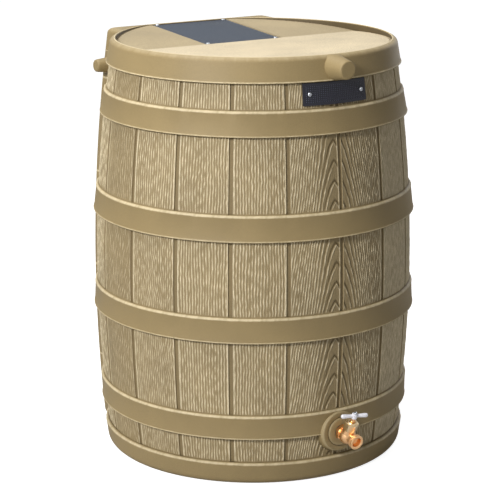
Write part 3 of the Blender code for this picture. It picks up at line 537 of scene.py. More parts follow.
def grain(turn, up, tier):
    """Height of the surface over the stave radius and its painted shading, at each angle and
    height: painted shade in the grooves, valleys and cracks, painted highlight on the ridges and
    beads.
    """
    turn, up = np.broadcast_arrays(turn, up)
    across = np.radians(turn) * BELLY_RADIUS
    width = math.radians(STAVE_TURN) * BELLY_RADIUS
    stave = np.floor(across / width).astype(int)
    across = across - (stave + 0.5) * width
    from_seam = width / 2 - np.abs(across)
    height = np.zeros(turn.shape)
    for number in np.unique(stave):
        mask = stave == number
        height[mask] = stave_grain(number, tier, across[mask], up[mask], width / 2)
    rng = np.random.default_rng(SEED + tier)
    grit = rng.normal(0, 1, turn.shape)
    grit[1:-1] = (grit[:-2] + grit[1:-1] + grit[2:]) / 2
    end = np.clip(np.minimum(up - up.min(), up.max() - up) / GRAIN_END, 0, 1)
    face = np.clip((from_seam - GROOVE_HALF) / EDGE_FADE, 0, 1)
    bead = np.exp(-((from_seam - GROOVE_HALF - EDGE_BEAD_OFFSET) / EDGE_BEAD_WIDTH) ** 2)
    floor = np.clip((GROOVE_HALF - from_seam) / (GROOVE_HALF - GROOVE_FLOOR_HALF), 0, 1)
    surface = ((height - 0.5) * GRAIN_RELIEF * end + grit * GRIT) * face + EDGE_BEAD * bead * end
    surface = surface * (1 - floor) - floor * GROOVE_DEPTH
    # painted shading: painted highlight on the ridges and on the bead beside each seam, painted
    # shade in the valleys, the cracks and on the groove floors, with a little random tone from
    # the grit
    painted_shading = (height + 0.10 * grit) * face * end + 0.7 * bead * (1 - floor) * end
    painted_shading = painted_shading * (1 - floor) + GROOVE_PAINTED_SHADE * floor
    round_part = np.abs(turn) < FLAT_TURN
    return surface * round_part, np.clip(painted_shading, -1, 1) * round_part


def stave_tier(name, tier, low, high, material):
    """One ring of staves between two hoops, from a fine skin and a plain inner wall."""
    heights = np.linspace(low, high, max(6, round((high - low) / ROW_STEP)) + 1)
    rings = [plan_ring(z) for z in heights]
    x, y, turn = (np.array([ring[i] for ring in rings]) for i in range(3))
    surface, painted_light = grain(turn, heights[:, None], tier)
    x = x + np.sin(np.radians(turn)) * surface
    y = y - np.cos(np.radians(turn)) * surface
    outer = np.stack([x, y, np.broadcast_to(heights[:, None], x.shape)], axis=2)
    inner = [ring_points(z, inset=WALL, at=FINE) for z in (high, low)]
    rows = np.concatenate([outer, inner])
    painted_light = np.concatenate([painted_light, np.zeros((2, painted_light.shape[1]))])
    return finish(wrapped_sheet(name, rows, painted_light), "tank", "moulded_resin", material,
                  degrees=62.0)


# -------- hoops and bands
def uneven(turn, seed, size):
    """Small irregular swell along a moulded lip."""
    rng = np.random.default_rng(seed)
    total = np.zeros(len(turn))
    for wave in (0.9, 1.7, 3.1, 5.3):
        total += np.sin(turn * 2 * math.pi / (wave * rng.uniform(2.2, 3.4))
                        + rng.uniform(0, 6.28))
    return np.where(np.abs(turn) < FLAT_TURN, total * size / 2, 0.0)


def band(name, section, seed, material, extra=(), replaced=()):
    """A band from its section, a list of (height, proud, inset, unevenness, painted shading), and
    from extra rings with painted shading of their own."""
    rows, painted_shadings = [], []
    for z, proud, inset, rough, painted_shading in section:
        x, y, turn = plan_ring(z, proud, inset, PLAIN)
        out = uneven(turn, seed, rough)
        x = x + np.sin(np.radians(turn)) * out
        y = y - np.cos(np.radians(turn)) * out
        rows.append(np.stack([x, y, z + out * 0.6], axis=1))
        painted_shadings.append(painted_shading * (0.85 + uneven(turn * 1.7, seed + 5, 0.16)))
    for ring, painted_shading in extra:
        rows.append(ring)
        painted_shadings.append(np.full(len(ring), painted_shading))
    return finish(wrapped_sheet(name, rows, np.array(painted_shadings)), "tank", "moulded_resin", material,
                  *replaced)


def foot(bottom, proud, steps):
    """Lower edge of a hoop or of the rim band, from the inner wall out, with painted shadow under
    it and a painted highlight on its lip.
    """
    return ([(bottom, 0.0, WALL, 0, -1), (bottom, 0.0, 0, 0, -1)]
            + [(bottom + up, proud - less, 0, rough, painted_shading) for up, less, rough, painted_shading in steps])


def lip(top, proud, steps, root_painted_shade):
    """Upper edge of a hoop or of the base band, back to the inner wall, with a painted highlight
    along it and painted shade at its root.
    """
    return ([(top - down, proud - less, 0, rough, painted_shading) for down, less, rough, painted_shading in steps]
            + [(top, LIP_ROOT_PROUD, 0, 0, root_painted_shade), (top, 0.0, WALL, 0, root_painted_shade)])


def hoop(name, bottom, height, seed, material):
    section = (foot(bottom, HOOP_PROUD_LOW, HOOP_FOOT)
               + lip(bottom + height, HOOP_PROUD_HIGH, HOOP_LIP, -0.5))
    band(name, section, seed, material)


def base_band(material):
    rows = []
    for share in np.linspace(0, 1, 7):
        turn_in = BASE_TURN_IN * (1 - math.sqrt(1 - (1 - share) ** 2))
        rows.append((BASE_ROUNDING * share, BASE_FACE_PROUD, turn_in, 0, 0))
    rows += lip(BASE_BAND_TOP, BASE_BAND_PROUD, BASE_LIP, -0.8)
    rows.append((WALL, 0.0, WALL + BASE_TURN_IN, 0, 0))
    band("base_band", rows, SEED + 90, material)
    # the floor of the tank closes the band, just clear of the ground
    low = 0.0002
    floor = filled_outline("tank_floor",
                           ring_points(0.0, BASE_FACE_PROUD, BASE_TURN_IN)[:, :2], low)
    thicken(floor, WALL - low)
    finish(floor, "tank", "moulded_resin", material)


def rim_band(material):
    section = foot(RIM_BAND_BOTTOM, RIM_BAND_PROUD_LOW, RIM_FOOT)
    # painted highlight on the rounded edge, brighter towards its top
    for cosine, sine in quarter(steps=9):
        section.append((HEIGHT - RIM_FACE_DROP - RIM_ROUNDING * (1 - sine), RIM_BAND_PROUD_HIGH,
                        RIM_ROUNDING * (1 - cosine), 0, 0.1 + 0.3 * sine))
    rows = [(deck_ring(out, HEIGHT - down), painted_shading) for out, down, painted_shading in DECK_BEAD]
    rows.append((ring_points(HEIGHT - DECK_CREASE_DROP - 0.008, inset=WALL), 0.0))
    band("rim_band", section, SEED + 70, material, rows, ("tank_shell",))


# -------- deck, hatch and overflow
HATCH_SLOPE = math.asin((HATCH_SINK_FRONT - HATCH_SINK_BACK) / HATCH_LENGTH)
HATCH_FRAME = (Matrix.Translation((0.0, HATCH_FRONT_Y, HEIGHT - HATCH_SINK_FRONT))
               @ Matrix.Rotation(HATCH_SLOPE, 4, 'X'))


def in_hatch(name, low, high):
    obj = block(name, low, high)
    place(obj, HATCH_FRAME)
    return obj


def deck(material):
    """Two shallow slopes in a gutter, with the stepped recess of the hatch cut through them."""
    obj = filled_outline("deck", deck_ring(-DECK_CLEARANCE, 0.0)[:, :2], 0.0)
    bpy.ops.mesh.bisect(plane_co=(0, DECK_CREASE_Y, 0), plane_no=(0, 1, 0))
    bpy.ops.mesh.select_all(action='SELECT')
    for width in GUTTER_STEPS:
        bpy.ops.mesh.inset(thickness=width, depth=0.0)
    bpy.ops.object.mode_set(mode='OBJECT')
    reached = np.cumsum((0.0,) + GUTTER_STEPS)
    painted_light = painted_light_attribute(obj)
    for vertex in obj.data.vertices:
        x, y, _ = vertex.co
        inward = min(DECK_RADIUS - math.hypot(x, y), DECK_BACK_Y - y)
        step = -1 if inward > GUTTER_REACH else int(np.argmin(np.abs(reached - inward)))
        vertex.co.z = float(deck_height(y)) + GUTTER_DEPTHS[step]
        # painted shade down in the gutter, a painted highlight on its inner edge
        painted_light[vertex.index].value = GUTTER_PAINTED_SHADING[step]
    thicken(obj, -DECK_THICKNESS)
    half, depth = HATCH_WIDTH / 2, HATCH_PLATE + GAP
    boolean(obj, in_hatch("recess", (-half - HATCH_CLEARANCE, -HATCH_CLEARANCE, -depth),
                          (half + HATCH_CLEARANCE, HATCH_LENGTH + HATCH_CLEARANCE, 0.03)))
    boolean(obj, in_hatch("opening", (-half + HATCH_LEDGE, HATCH_LEDGE, -0.06),
                          (half - HATCH_LEDGE, HATCH_LENGTH - HATCH_LEDGE, 0.0)))
    return finish(obj, "tank", "moulded_resin", material, degrees=25.0)


def perforated(name, width, height, columns, rows, margin, thickness):
    """Sheet of square holes: a grid whose cells are inset and deleted, thickened downwards."""
    obj = grid(name, columns, rows, width - 2 * margin, height - 2 * margin)
    edit(obj, 'FACE')
    bpy.ops.mesh.inset(thickness=SCREEN_BAR, depth=0.0, use_individual=True)
    bpy.ops.mesh.delete(type='FACE')
    bpy.ops.mesh.select_mode(type='EDGE')
    bpy.ops.mesh.select_all(action='DESELECT')
    bpy.ops.object.mode_set(mode='OBJECT')
    half_x, half_y = width / 2 - margin, height / 2 - margin
    for edge in obj.data.edges:
        a, b = (obj.data.vertices[i].co for i in edge.vertices)
        edge.select = any(abs(abs(a[k]) - h) < 1e-5 and abs(abs(b[k]) - h) < 1e-5
                          for k, h in ((0, half_x), (1, half_y)))
    bpy.ops.object.mode_set(mode='EDIT')
    bpy.ops.mesh.extrude_region_move()
    bpy.ops.transform.resize(value=(width / (2 * half_x), height / (2 * half_y), 1.0))
    bpy.ops.object.mode_set(mode='OBJECT')
    apply_modifier(obj, 'SOLIDIFY', thickness=thickness, offset=-1.0)
    close_up(obj)
    return obj


def hatch_screen(material):
    columns = round(HATCH_WIDTH / HATCH_CELL) - 2
    rows = round(HATCH_LENGTH / HATCH_CELL) - 2
    obj = perforated("hatch_mesh", HATCH_WIDTH, HATCH_LENGTH, columns, rows, HATCH_MARGIN,
                     HATCH_PLATE)
    place(obj, HATCH_FRAME @ Matrix.Translation((0, HATCH_LENGTH / 2, 0)))
    return finish(obj, "tank", "dark_grey_plastic", material, "hatch_screen")


OVERFLOW_MIDDLE = OVERFLOW_TOP - OVERFLOW_HEIGHT / 2


def overflow_surface(along, z, out):
    """Point on the curved overflow screen, and out from its back."""
    radius = stave_radius(z) + OVERFLOW_SEAT_GAP + out
    angle = along / stave_radius(OVERFLOW_MIDDLE)
    return Vector((radius * math.sin(angle), -radius * math.cos(angle), z))


def overflow_screen(material, gauze_material):
    obj = perforated("overflow_mesh", OVERFLOW_WIDTH, OVERFLOW_HEIGHT, *OVERFLOW_CELLS,
                     OVERFLOW_MARGIN, OVERFLOW_PLATE)
    gauze = grid("overflow_gauze", 24, 4, OVERFLOW_WIDTH - OVERFLOW_MARGIN,
                 OVERFLOW_HEIGHT - OVERFLOW_MARGIN)
    place(gauze, Matrix.Translation((0, 0, GAUZE_DEPTH - OVERFLOW_PLATE)))
    apply_modifier(gauze, 'SOLIDIFY', thickness=GAUZE_DEPTH / 2, offset=-1.0)
    for piece in (obj, gauze):
        for vertex in piece.data.vertices:
            x, y, z = vertex.co
            vertex.co = overflow_surface(x, OVERFLOW_MIDDLE + y, z + OVERFLOW_PLATE)
        close_up(piece)
    finish(gauze, "tank", "black_plastic", gauze_material)
    return finish(obj, "tank", "black_plastic", material, "overflow_screen")


def screw_head(name, place_frame, node, material, body="tank", radius=SCREW_HEAD_RADIUS,
               height=SCREW_HEAD_HEIGHT):
    """Pan head with a cross recess."""
    profile = [(0.0, GAP + height)]
    for degrees in (70, 55, 40, 25, 10):
        a = math.radians(degrees)
        profile.append((radius * math.cos(a) ** 0.6, GAP + height * math.sin(a) ** 0.5))
    profile += [(radius, GAP + height * 0.25), (radius * 0.97, GAP), (SCREW_SHANK_RADIUS, GAP),
                (SCREW_SHANK_RADIUS, -SCREW_SHANK_LENGTH),
                (0.0, -SCREW_SHANK_LENGTH - SCREW_POINT)]
    head = turned(name, profile, Matrix.Identity(4), 24)
    slot, reach, depth = radius * 0.17, radius * 0.62, height * 0.55
    for turn in (20.0, 110.0):
        cutter = block("slot", (-reach, -slot, GAP + height - depth),
                       (reach, slot, GAP + height * 2))
        place(cutter, Matrix.Rotation(math.radians(turn), 4, 'Z'))
        boolean(head, cutter)
    place(head, place_frame)
    return finish(head, body, "zinc_steel", material, node)


def hatch_screw_places():
    x = HATCH_WIDTH / 2 - HATCH_SCREW_INSET
    ends = (HATCH_SCREW_INSET, HATCH_LENGTH - HATCH_SCREW_INSET)
    return [HATCH_FRAME @ Matrix.Translation((side * x, y, 0.0))
            for side in (-1, 1) for y in ends]


def overflow_screw_places():
    places, step = [], 0.01
    for along in (-OVERFLOW_SCREW_SPAN / 2, OVERFLOW_SCREW_SPAN / 2):
        seat = overflow_surface(along, OVERFLOW_MIDDLE, OVERFLOW_PLATE)
        up = (overflow_surface(along, OVERFLOW_MIDDLE + step, 0)
              - overflow_surface(along, OVERFLOW_MIDDLE - step, 0))
        angle = along / seat.xy.length
        places.append(aim(seat, Vector((math.cos(angle), math.sin(angle), 0)).cross(up)))
    return places


# -------- ports and spigot pad
def port(name, root, direction, buried, length, root_radius, end_radius, material):
    """Blank conical port that sweeps out of the body and has a rounded end."""
    profile = [(0.0, -buried), (root_radius, -buried)]
    for share in (0.15, 0.3, 0.45, 0.6, 0.8, 0.93):
        sweep = (1 - share) ** 1.1
        profile.append((end_radius + PORT_FLARE + (root_radius - end_radius) * sweep,
                        -buried + (length - PORT_ROUNDING + buried) * share))
    for cosine, sine in quarter(1):
        profile.append((end_radius - PORT_ROUNDING * (1 - cosine),
                        length - PORT_ROUNDING * (1 - sine)))
    profile += [(end_radius - PORT_ROUNDING - 0.003, length), (0.0, length)]
    obj = turned(name, profile, aim(root, direction), 64)
    if root[2] + root_radius > PORT_TOP:
        boolean(obj, block("trim", (-0.06, -0.4, PORT_TOP), (0.06, -0.2, PORT_TOP + 0.02)))
    return finish(obj, "tank", "moulded_resin", material)


def ports(material):
    z = HEIGHT - FRONT_PORT_DROP
    root = stave_radius(z) + RIM_BAND_PROUD_LOW
    port("front_port", (0, -root, z), (0, -1, 0), FRONT_PORT_BURIED, FRONT_PORT_LENGTH,
         FRONT_PORT_ROOT_RADIUS, FRONT_PORT_END_RADIUS, material)
    z = HEIGHT - SIDE_PORT_DROP
    root = back_half_width(z)
    for side, name in ((-1, "left_port"), (1, "right_port")):
        port(name, (side * root, SIDE_PORT_Y, z), (side, 0, 0), WALL, SIDE_PORT_LENGTH,
             SIDE_PORT_ROOT_RADIUS, SIDE_PORT_END_RADIUS, material)


DISC_FACE = stave_radius(SPIGOT_HEIGHT) + BOSS_FACE_PROUD + DISC_PROUD
HEX_BACK = DISC_FACE + GASKET_THICKNESS
HEX_FRONT = HEX_BACK + HEX_LENGTH
VALVE_CENTRE = Vector((0.0, -(HEX_FRONT + GLOBE_STAND_OFF), SPIGOT_HEIGHT))
STEM_FRAME = Matrix.Translation(VALVE_CENTRE) @ Matrix.Rotation(math.radians(STEM_TILT), 4, 'X')
OUTLET_FRAME = (Matrix.Translation(VALVE_CENTRE)
                @ Matrix.Rotation(math.radians(90.0 + OUTLET_ANGLE), 4, 'X'))


# Rings of painted light on the pad, as (radius, half width, painted shading): painted highlights
# on the bevels of the boss and the disc, and painted shade round the disc's foot and the boss's
# root
PAD_PAINTED_LIGHT = ((BOSS_RADIUS - 0.0010, 0.0014, 0.35), (DISC_RADIUS - 0.0008, 0.0009, 0.25),
              (DISC_RADIUS + 0.0012, 0.0008, -0.9), (BOSS_RADIUS + 0.0040, 0.0010, -0.7))


def spigot_pad(material):
    """Round boss with a raised disc on it, moulded on the staves."""
    face = DISC_FACE - DISC_PROUD
    back = stave_radius(SPIGOT_HEIGHT) - WALL - face
    profile = [(0.0, back), (BOSS_RADIUS + 0.0040, back), (BOSS_RADIUS + 0.0015, -0.0085),
               (BOSS_RADIUS + 0.0003, -0.0060), (BOSS_RADIUS, -BOSS_BEVEL)]
    profile += [(BOSS_RADIUS - BOSS_BEVEL * (1 - cosine), -BOSS_BEVEL * (1 - sine))
                for cosine, sine in quarter(1)]
    profile += [(DISC_RADIUS + 0.0022, 0.0), (DISC_RADIUS + 0.0010, -0.0005),
                (DISC_RADIUS + 0.0002, 0.0003), (DISC_RADIUS, DISC_PROUD - DISC_BEVEL)]
    profile += [(DISC_RADIUS - DISC_BEVEL * (1 - cosine), DISC_PROUD - DISC_BEVEL * (1 - sine))
                for cosine, sine in quarter(1)]
    profile += [(0.012, DISC_PROUD), (0.0, DISC_PROUD - 0.0005)]
    obj = turned("spigot_pad", profile, aim((0, -face, SPIGOT_HEIGHT), (0, -1, 0)), 96)
    painted_light = painted_light_attribute(obj)
    for vertex in obj.data.vertices:
        reach = math.hypot(vertex.co.x, vertex.co.z - SPIGOT_HEIGHT)
        for radius, half, painted_shading in PAD_PAINTED_LIGHT:
            if abs(reach - radius) < half:
                painted_light[vertex.index].value = painted_shading
    return finish(obj, "tank", "moulded_resin", material)


# -------- spigot
# Profiles of the castings, as (radius, distance along), from the wall hexagon, the middle of
# the valve or the end of the hexagon
SHANK = ((0.0, -0.0040), (0.0103, -0.0040), (0.0103, 0.0020), (0.0, 0.0020))
CAST_NECK = ((0.0, -0.0010), (0.0118, -0.0010), (0.0110, 0.0012), (0.0112, 0.0030),
             (0.0128, 0.0060), (0.0, 0.0062))
BONNET = ((0.0, 0.0), (0.0135, 0.0), (0.0128, 0.0085), (BONNET_RADIUS + 0.0008, 0.0130),
          (BONNET_RADIUS, BONNET_TOP), (0.0, BONNET_TOP))
THREAD_DEPTH = 0.0010
THREAD_PITCH = 0.0022
THREAD_START = OUTLET_LENGTH - 0.0085
BORE_FLOOR = OUTLET_LENGTH - 0.0142


def hexagon(name, flats, low, high, matrix):
    """Hexagonal prism whose corners are turned off at both ends."""
    deselect()
    bpy.ops.mesh.primitive_cylinder_add(vertices=6, radius=flats / math.sqrt(3),
                                        depth=high - low, location=(0, 0, (high + low) / 2))
    obj = just_made(name)
    bpy.ops.object.transform_apply(location=True, rotation=True, scale=True)
    apply_modifier(obj, 'BEVEL', width=0.0004, segments=2, limit_method='ANGLE')
    edge, corner = flats / 2 * 1.02, flats / math.sqrt(3) + 0.001
    drop = (corner - edge) * 0.6
    envelope = turned("envelope", [(0.0, low), (edge, low), (corner, low + drop),
                                   (corner, high - drop), (edge, high), (0.0, high)],
                      Matrix.Identity(4))
    boolean(obj, envelope, 'INTERSECT')
    place(obj, matrix)
    return obj


def outlet_profile():
    """Neck, hose thread and open mouth of the outlet, along its own axis."""
    crest, root = OUTLET_THREAD_RADIUS, OUTLET_THREAD_RADIUS - THREAD_DEPTH
    neck, end = OUTLET_NECK_RADIUS - 0.0012, OUTLET_LENGTH
    profile = [(0.0, 0.004), (neck + 0.0022, 0.004), (neck + 0.0004, 0.0115), (neck, 0.0150),
               (neck + 0.0003, THREAD_START - 0.0022), (root, THREAD_START - 0.0006)]
    for turn in range(2):
        z = THREAD_START + THREAD_PITCH * turn
        profile += [(crest - 0.0002, z + 0.0005), (crest - 0.0002, z + 0.0011),
                    (root, z + 0.0017), (root, z + 0.0021)]
    return profile + [(crest, THREAD_START + 0.0050), (crest, end - 0.0008),
                      (crest - 0.0007, end), (OUTLET_BORE + 0.0014, end),
                      (OUTLET_BORE, end - 0.0014), (OUTLET_BORE, BORE_FLOOR + 0.0030),
                      (OUTLET_BORE - 0.0020, BORE_FLOOR + 0.0006), (0.0, BORE_FLOOR)]


def spigot_body(material):
    """Red brass casting: wall hexagon, neck, globe, bonnet neck and the hose outlet."""
    inlet = aim((0, -HEX_BACK, SPIGOT_HEIGHT), (0, -1, 0))
    globe = [(0.0, -GLOBE_RADIUS)]
    for degrees in range(-80, 90, 10):
        a = math.radians(degrees)
        globe.append((GLOBE_RADIUS * math.cos(a), GLOBE_RADIUS * math.sin(a)))
    globe.append((0.0, GLOBE_RADIUS))
    body = joined("spigot_casting", hexagon("spigot_casting", HEX_FLATS, 0.0, HEX_LENGTH, inlet),
                  turned("shank", SHANK, inlet, 40),
                  turned("cast_neck", [(r, HEX_LENGTH + z) for r, z in CAST_NECK], inlet, 40),
                  turned("globe", globe, STEM_FRAME @ Matrix.Translation((0, 0, -0.002))),
                  turned("outlet", outlet_profile(), OUTLET_FRAME, 56),
                  turned("bonnet", BONNET, STEM_FRAME))
    return finish(body, "tank", "brass", material, "spigot_body", degrees=32.0)


def packing_nut(material):
    """Hexagon nut with a round top, hollow for the packing and drilled for the stem."""
    nut = hexagon("bonnet_nut", NUT_FLATS, BONNET_TOP - NUT_SKIRT, NUT_TOP - NUT_BOSS_HEIGHT,
                  Matrix.Identity(4))
    hole, roof = STEM_RADIUS + GAP, NUT_TOP - NUT_ROOF
    boolean(nut, turned("nut_hole", [(0.0, 0.0), (CHAMBER_RADIUS, 0.0), (CHAMBER_RADIUS, roof),
                                     (hole, roof), (hole, 2 * NUT_TOP), (0.0, 2 * NUT_TOP)],
                        Matrix.Identity(4), 40))
    place(nut, STEM_FRAME)
    boss_foot = NUT_TOP - NUT_BOSS_HEIGHT - 0.0006
    boss = turned("nut_boss", [(hole, boss_foot), (0.0096, boss_foot), (0.0092, NUT_TOP - 0.0010),
                               (0.0082, NUT_TOP), (hole + 0.0008, NUT_TOP),
                               (hole, NUT_TOP - 0.0008)], STEM_FRAME, 40)
    return finish(joined("bonnet_nut", nut, boss), "tank", "brass", material, "packing_nut",
                  degrees=32.0)


def handle(material):
    """Cast T handle: a bar that swells towards its rounded ends, through a tapered hub."""
    half, waist, tip = HANDLE_LENGTH / 2, HANDLE_BAR_RADIUS * 0.80, HANDLE_BAR_RADIUS
    side = []
    for degrees in (0, 20, 40, 60, 80):
        a = math.radians(degrees)
        side.append((tip * math.sin(a), half - tip + tip * math.cos(a)))
    side += [(tip, half - tip - 0.002), (tip * 0.93, half * 0.62), (waist, half * 0.36),
             (waist * 1.04, half * 0.24)]
    profile = side + [(radius, -along) for radius, along in reversed(side)]
    turn = STEM_FRAME @ Matrix.Rotation(math.radians(HANDLE_TURN), 4, 'Z')
    bar = turned("tee_handle", profile, turn @ Matrix.Translation((0, 0, HANDLE_HEIGHT))
                 @ Matrix.Rotation(math.radians(90.0), 4, 'Y'), 32)
    low, high, r = HANDLE_HEIGHT - HANDLE_HUB_LENGTH / 2, HANDLE_TOP, HANDLE_HUB_RADIUS
    hub = turned("hub", [(0.0, low), (r - 0.0008, low), (r, low + 0.0008),
                         (r * 0.93, high - 0.0010), (r * 0.80, high), (0.0, high)], turn, 40)
    return finish(joined("tee_handle", bar, hub), "valve_stem", "white_metal", material,
                  "handle", degrees=40.0)


# -------- materials
def node(tree, kind, **settings):
    made = tree.nodes.new(kind)
    for key, value in settings.items():
        setattr(made, key, value)
    return made


def link(tree, source, target):
    """Feeds a socket from another one, or sets it to a plain value."""
    if isinstance(source, bpy.types.NodeSocket):
        tree.links.new(source, target)
    else:
        target.default_value = source


def maths(tree, operation, *values):
    made = node(tree, 'ShaderNodeMath', operation=operation)
    for value, socket in zip(values, made.inputs):
        link(tree, value, socket)
    return made.outputs[0]


def group_tree(name, inputs, outputs):
    tree = bpy.data.node_groups.new(name, 'ShaderNodeTree')
    for socket, kind, value in inputs:
        made = tree.interface.new_socket(name=socket, in_out='INPUT', socket_type=kind)
        made.default_value = value
    for socket, kind in outputs:
        tree.interface.new_socket(name=socket, in_out='OUTPUT', socket_type=kind)
    return tree, tree.nodes.new('NodeGroupInput'), tree.nodes.new('NodeGroupOutput')


def mix_colour(tree, factor, a, b, blend='MIX'):
    mix = node(tree, 'ShaderNodeMix', data_type='RGBA', blend_type=blend)
    for value, socket in ((factor, mix.inputs[0]), (a, mix.inputs[6]), (b, mix.inputs[7])):
        link(tree, value, socket)
    return mix.outputs[2]


def mapped_range(tree, value, low, high, to_low=0.0, to_high=1.0):
    ranged = tree.nodes.new('ShaderNodeMapRange')
    for socket, number in (("From Min", low), ("From Max", high), ("To Min", to_low),
                           ("To Max", to_high)):
        ranged.inputs[socket].default_value = number
    link(tree, value, ranged.inputs["Value"])
    return ranged.outputs["Result"]


def noise(tree, coordinates, scale, detail):
    made = tree.nodes.new('ShaderNodeTexNoise')
    made.inputs["Scale"].default_value = scale
    made.inputs["Detail"].default_value = detail
    made.inputs["Roughness"].default_value = 0.55
    link(tree, coordinates, made.inputs["Vector"])
    return made.outputs["Fac"]


def mottle_group():
    """Soft blotches and fine speckle of moulded resin: a colour and a roughness."""
    tree, inside, out = group_tree(
        "mottle", [("Color", 'NodeSocketColor', (0.5, 0.5, 0.5, 1)),
                   ("Blotch", 'NodeSocketFloat', 0.1), ("Speckle", 'NodeSocketFloat', 0.1),
                   ("Roughness", 'NodeSocketFloat', 0.5)],
        [("Color", 'NodeSocketColor'), ("Roughness", 'NodeSocketFloat')])
    place_in = tree.nodes.new('ShaderNodeTexCoord').outputs["Object"]
    blotch = mapped_range(tree, noise(tree, place_in, 9.0, 4.0), 0.3, 0.7, -1.0, 1.0)
    speckle = mapped_range(tree, noise(tree, place_in, 900.0, 2.0), 0.3, 0.7, -1.0, 1.0)
    total = maths(tree, 'ADD', maths(tree, 'MULTIPLY', blotch, inside.outputs["Blotch"]),
                  maths(tree, 'MULTIPLY', speckle, inside.outputs["Speckle"]))
    shade = node(tree, 'ShaderNodeVectorMath', operation='SCALE')
    link(tree, inside.outputs["Color"], shade.inputs[0])
    link(tree, maths(tree, 'ADD', total, 1.0), shade.inputs["Scale"])
    link(tree, shade.outputs[0], out.inputs["Color"])
    rough = maths(tree, 'MULTIPLY_ADD', blotch, 0.08, inside.outputs["Roughness"])
    link(tree, rough, out.inputs["Roughness"])
    return tree


def grain_bump_group():
    """Fine fibres that run up the staves: a height."""
    tree, inside, out = group_tree(
        "fine_fibre", [("Stretch", 'NodeSocketFloat', 0.1), ("Scale", 'NodeSocketFloat', 500.0)],
        [("Height", 'NodeSocketFloat')])
    coordinates = tree.nodes.new('ShaderNodeTexCoord').outputs["Object"]
    stretch = tree.nodes.new('ShaderNodeCombineXYZ')
    for value, socket in zip((1.0, 1.0, inside.outputs["Stretch"]), stretch.inputs):
        link(tree, value, socket)
    drawn = node(tree, 'ShaderNodeVectorMath', operation='MULTIPLY')
    link(tree, coordinates, drawn.inputs[0])
    link(tree, stretch.outputs[0], drawn.inputs[1])
    texture = tree.nodes.new('ShaderNodeTexNoise')
    texture.inputs["Detail"].default_value = 3.0
    link(tree, drawn.outputs[0], texture.inputs["Vector"])
    link(tree, inside.outputs["Scale"], texture.inputs["Scale"])
    link(tree, texture.outputs["Fac"], out.inputs["Height"])
    return tree


MOTTLE = mottle_group()
FIBRE = grain_bump_group()


def use_group(tree, group, **values):
    made = node(tree, 'ShaderNodeGroup', node_tree=group)
    for key, value in values.items():
        made.inputs[key].default_value = value
    return made


def material(name):
    mat = bpy.data.materials.new(name)
    mat.use_nodes = True
    return mat, mat.node_tree, mat.node_tree.nodes["Principled BSDF"]


def mottled(name, colour, roughness, blotch, speckle):
    """Material whose colour and roughness vary softly."""
    mat, tree, shader = material(name)
    mottle = use_group(tree, MOTTLE, Color=(*colour, 1), Blotch=blotch, Speckle=speckle,
                       Roughness=roughness)
    link(tree, mottle.outputs["Color"], shader.inputs["Base Color"])
    link(tree, mottle.outputs["Roughness"], shader.inputs["Roughness"])
    return mat, tree, shader, mottle


def fibre_bump(tree, shader, stretch, scale, strength, distance):
    fibre = use_group(tree, FIBRE, Stretch=stretch, Scale=scale)
    made = tree.nodes.new('ShaderNodeBump')
    made.inputs["Strength"].default_value = strength
    made.inputs["Distance"].default_value = distance
    link(tree, fibre.outputs["Height"], made.inputs["Height"])
    link(tree, made.outputs["Normal"], shader.inputs["Normal"])


def resin_with_painted_light(name, low, mid, high, roughness, blotch, speckle, stretch, scale, depth):
    """Moulded resin with painted light: pale painted highlights on ridges and lips, and browner
    painted shade in valleys and seams.
    """
    mat, tree, shader, mottle = mottled(name, mid, roughness, blotch, speckle)
    fibre_bump(tree, shader, stretch, scale, 0.5, depth)
    shader.inputs["Specular IOR Level"].default_value = 0.35
    painted_light = node(tree, 'ShaderNodeAttribute', attribute_name="painted_light").outputs["Fac"]
    colour = mix_colour(tree, mapped_range(tree, painted_light, -0.8, 0.0), (*low, 1), (*mid, 1))
    colour = mix_colour(tree, mapped_range(tree, painted_light, 0.15, 0.85), colour, (*high, 1))
    link(tree, colour, mottle.inputs["Color"])
    return mat


def paint_lit_front(mat):
    """Painted light: the half of the deck before the crease is painted paler than the half behind
    it, standing in for brighter light on it.
    """
    tree = mat.node_tree
    shader = tree.nodes["Principled BSDF"]
    base = shader.inputs["Base Color"].links[0].from_socket
    place_in = tree.nodes.new('ShaderNodeTexCoord').outputs["Object"]
    apart = tree.nodes.new('ShaderNodeSeparateXYZ')
    link(tree, place_in, apart.inputs[0])
    blend = 0.004
    front = mapped_range(tree, apart.outputs["Y"], DECK_CREASE_Y + blend, DECK_CREASE_Y - blend)
    painted_front_light = mix_colour(tree, 1.0, base, (1.55, 1.62, 1.82, 1), 'MULTIPLY')
    link(tree, mix_colour(tree, front, base, painted_front_light), shader.inputs["Base Color"])


def plastic(name, colour, roughness):
    return mottled(name, colour, roughness, 0.12, 0.08)[0]


def metal(name, colour, roughness, metallic=1.0):
    """Cast or plated metal with slight tarnish and tool marks."""
    mat, tree, shader, _ = mottled(name, colour, roughness, 0.16, 0.05)
    shader.inputs["Metallic"].default_value = metallic
    fibre_bump(tree, shader, 1.0, 1400.0, 0.25, 0.0001)
    return mat


# in each resin, low is the painted shade colour and high the painted highlight colour
STAVE = resin_with_painted_light("stave_resin", (0.13, 0.092, 0.040), (0.265, 0.200, 0.102),
                      (0.66, 0.56, 0.375), 0.68, 0.08, 0.16, 0.12, 520.0, 0.0004)
BAND = resin_with_painted_light("band_resin", (0.09, 0.064, 0.028), (0.275, 0.203, 0.094),
                     (0.58, 0.48, 0.30), 0.58, 0.07, 0.09, 1.0, 420.0, 0.0003)
DECK = resin_with_painted_light("deck_resin", (0.20, 0.15, 0.08), (0.38, 0.305, 0.185),
                     (0.68, 0.60, 0.46), 0.75, 0.10, 0.30, 1.0, 260.0, 0.0009)
paint_lit_front(DECK)
